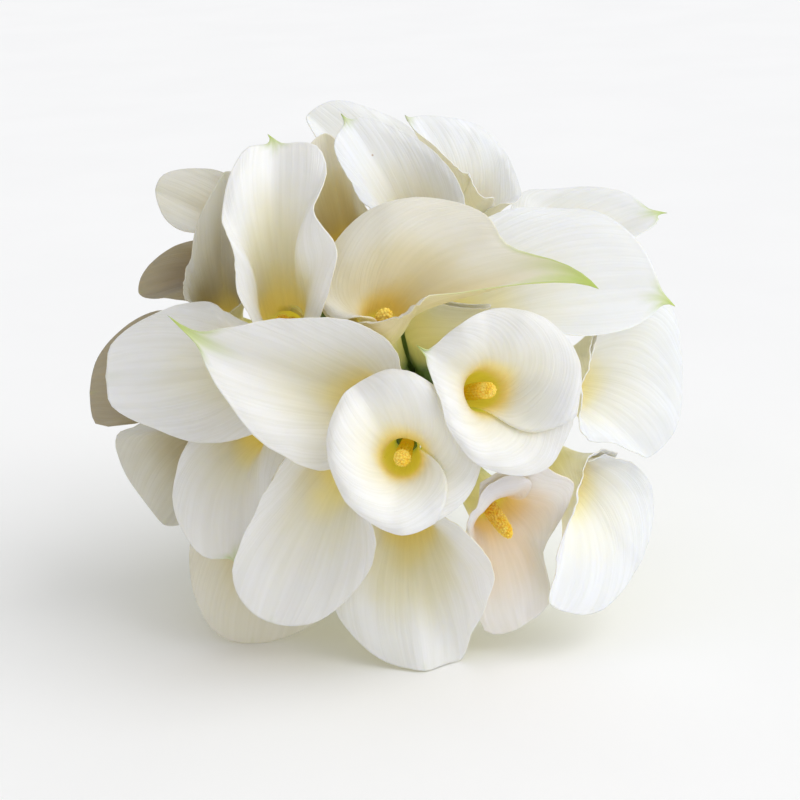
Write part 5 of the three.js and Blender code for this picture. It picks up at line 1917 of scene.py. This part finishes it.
@dataclass
class Studio:
    """The pale floor, the soft lights and the camera in front of the flowers."""

    floor_size: float = 24.0
    lens: float = 81.8
    sensor: float = 36.0
    seen_from: float = 0.05
    seen_to: float = 60.0
    bright_side: Colour = (0.93, 0.94, 0.96)
    dim_side: Colour = (0.45, 0.44, 0.42)
    daylight_strength: float = 1.0
    window_power: float = 1.15
    window_angle: float = 50.0
    window_colour: Colour = (1.0, 0.99, 0.975)
    window_way: Spot = (0.62, 0.62, 0.48)

    def build(self) -> None:
        """Makes the floor, the lights and the camera."""
        self.floor()
        self.world()
        self.window()
        self.camera()

    def floor(self) -> None:
        """A large plane under the bouquet."""
        size = self.floor_size / 2
        points = np.array([(-size, -size, 0), (size, -size, 0), (size, size, 0), (-size, size, 0)], float)
        made_mesh("floor", points, [(0, 1, 2, 3)], {}, FloorFinish().material())

    def world(self) -> None:
        """Soft daylight, brighter from the right."""
        world = bpy.data.worlds.new("daylight")
        world.use_nodes = True
        wiring = Wiring(world.node_tree)
        background = next(n for n in world.node_tree.nodes if n.type == "BACKGROUND")
        way = wiring.add("ShaderNodeTexCoord").outputs["Generated"]
        right = wiring.add("ShaderNodeSeparateXYZ", {0: way}).outputs[0]
        share = wiring.between(right, -0.9, 0.7)
        light = wiring.blend(share, rgba(self.dim_side), rgba(self.bright_side))
        wiring.feed(background, {"Color": light, "Strength": self.daylight_strength})
        bpy.context.scene.world = world

    def window(self) -> None:
        """The main soft light, from the right, above and in front of the flowers."""
        data = bpy.data.lights.new("window", "SUN")
        data.energy = self.window_power
        data.angle = math.radians(self.window_angle)
        data.color = self.window_colour
        back = laid_way(self.window_way)
        right = unit(np.cross([0, 0, 1.0], back))
        place = lie(MM * np.array(self.window_way))
        self.stood(linked("window", data), right, np.cross(back, right), back, place)

    def stood(self, thing: bpy.types.Object, right: Array, up: Array, back: Array, place: Array) -> None:
        """Stands a light or camera at a place.

        Args:
            thing: the light or camera.
            right: the direction to its right.
            up: the direction above it.
            back: the direction behind it.
            place: where it stands.
        """
        matrix = np.eye(4)
        matrix[:3, 0], matrix[:3, 1], matrix[:3, 2], matrix[:3, 3] = right, up, back, place
        thing.matrix_world = Matrix(matrix.tolist())

    def camera(self) -> None:
        """The camera, as far in front of the flowers as they are sighted from."""
        data = bpy.data.cameras.new("camera")
        data.lens = self.lens
        data.sensor_width = self.sensor
        data.clip_start = self.seen_from
        data.clip_end = self.seen_to
        camera = linked("camera", data)
        ways = [laid_way(way) for way in ((1, 0, 0), (0, 1, 0), (0, 0, 1))]
        self.stood(camera, *ways, lie(np.array([0.0, 0.0, SIGHT])))
        bpy.context.scene.camera = camera


@dataclass
class Bouquet:
    """The whole bouquet, built from its flowers; the shown spadices get finer grains."""

    shown: str = "ABEN"

    def build(self) -> None:
        """Lays out the flowers, then makes every piece."""
        posy = Posy(FLOWERS)
        posy.settle()
        posy.bend()
        log.info("layout: %d flowers set clear of each other", len(posy.flowers))
        petals = {tone: PetalFinish(tone, *colours).material() for tone, colours in TONES.items()}
        spadix_skin, stem_skin = SpadixFinish().material(), StemFinish().material()
        for order, flower in enumerate(posy.flowers):
            Spathe(flower, order).build(petals[flower.tone])
            Spadix(flower, order, flower.name in self.shown).build(spadix_skin)
        groups = posy.groups()
        for number, members in enumerate(groups, 1):
            StemGroup(posy, members, number).build(stem_skin)
        Ribbon(posy, groups).build(SatinFinish().material())


def main() -> None:
    """Builds the bouquet and its studio."""
    logging.basicConfig(level=logging.INFO, format="%(name)s: %(message)s")
    bpy.context.scene.view_settings.view_transform = "Standard"
    Bouquet().build()
    Studio().build()


if __name__ == "__main__":
    main()
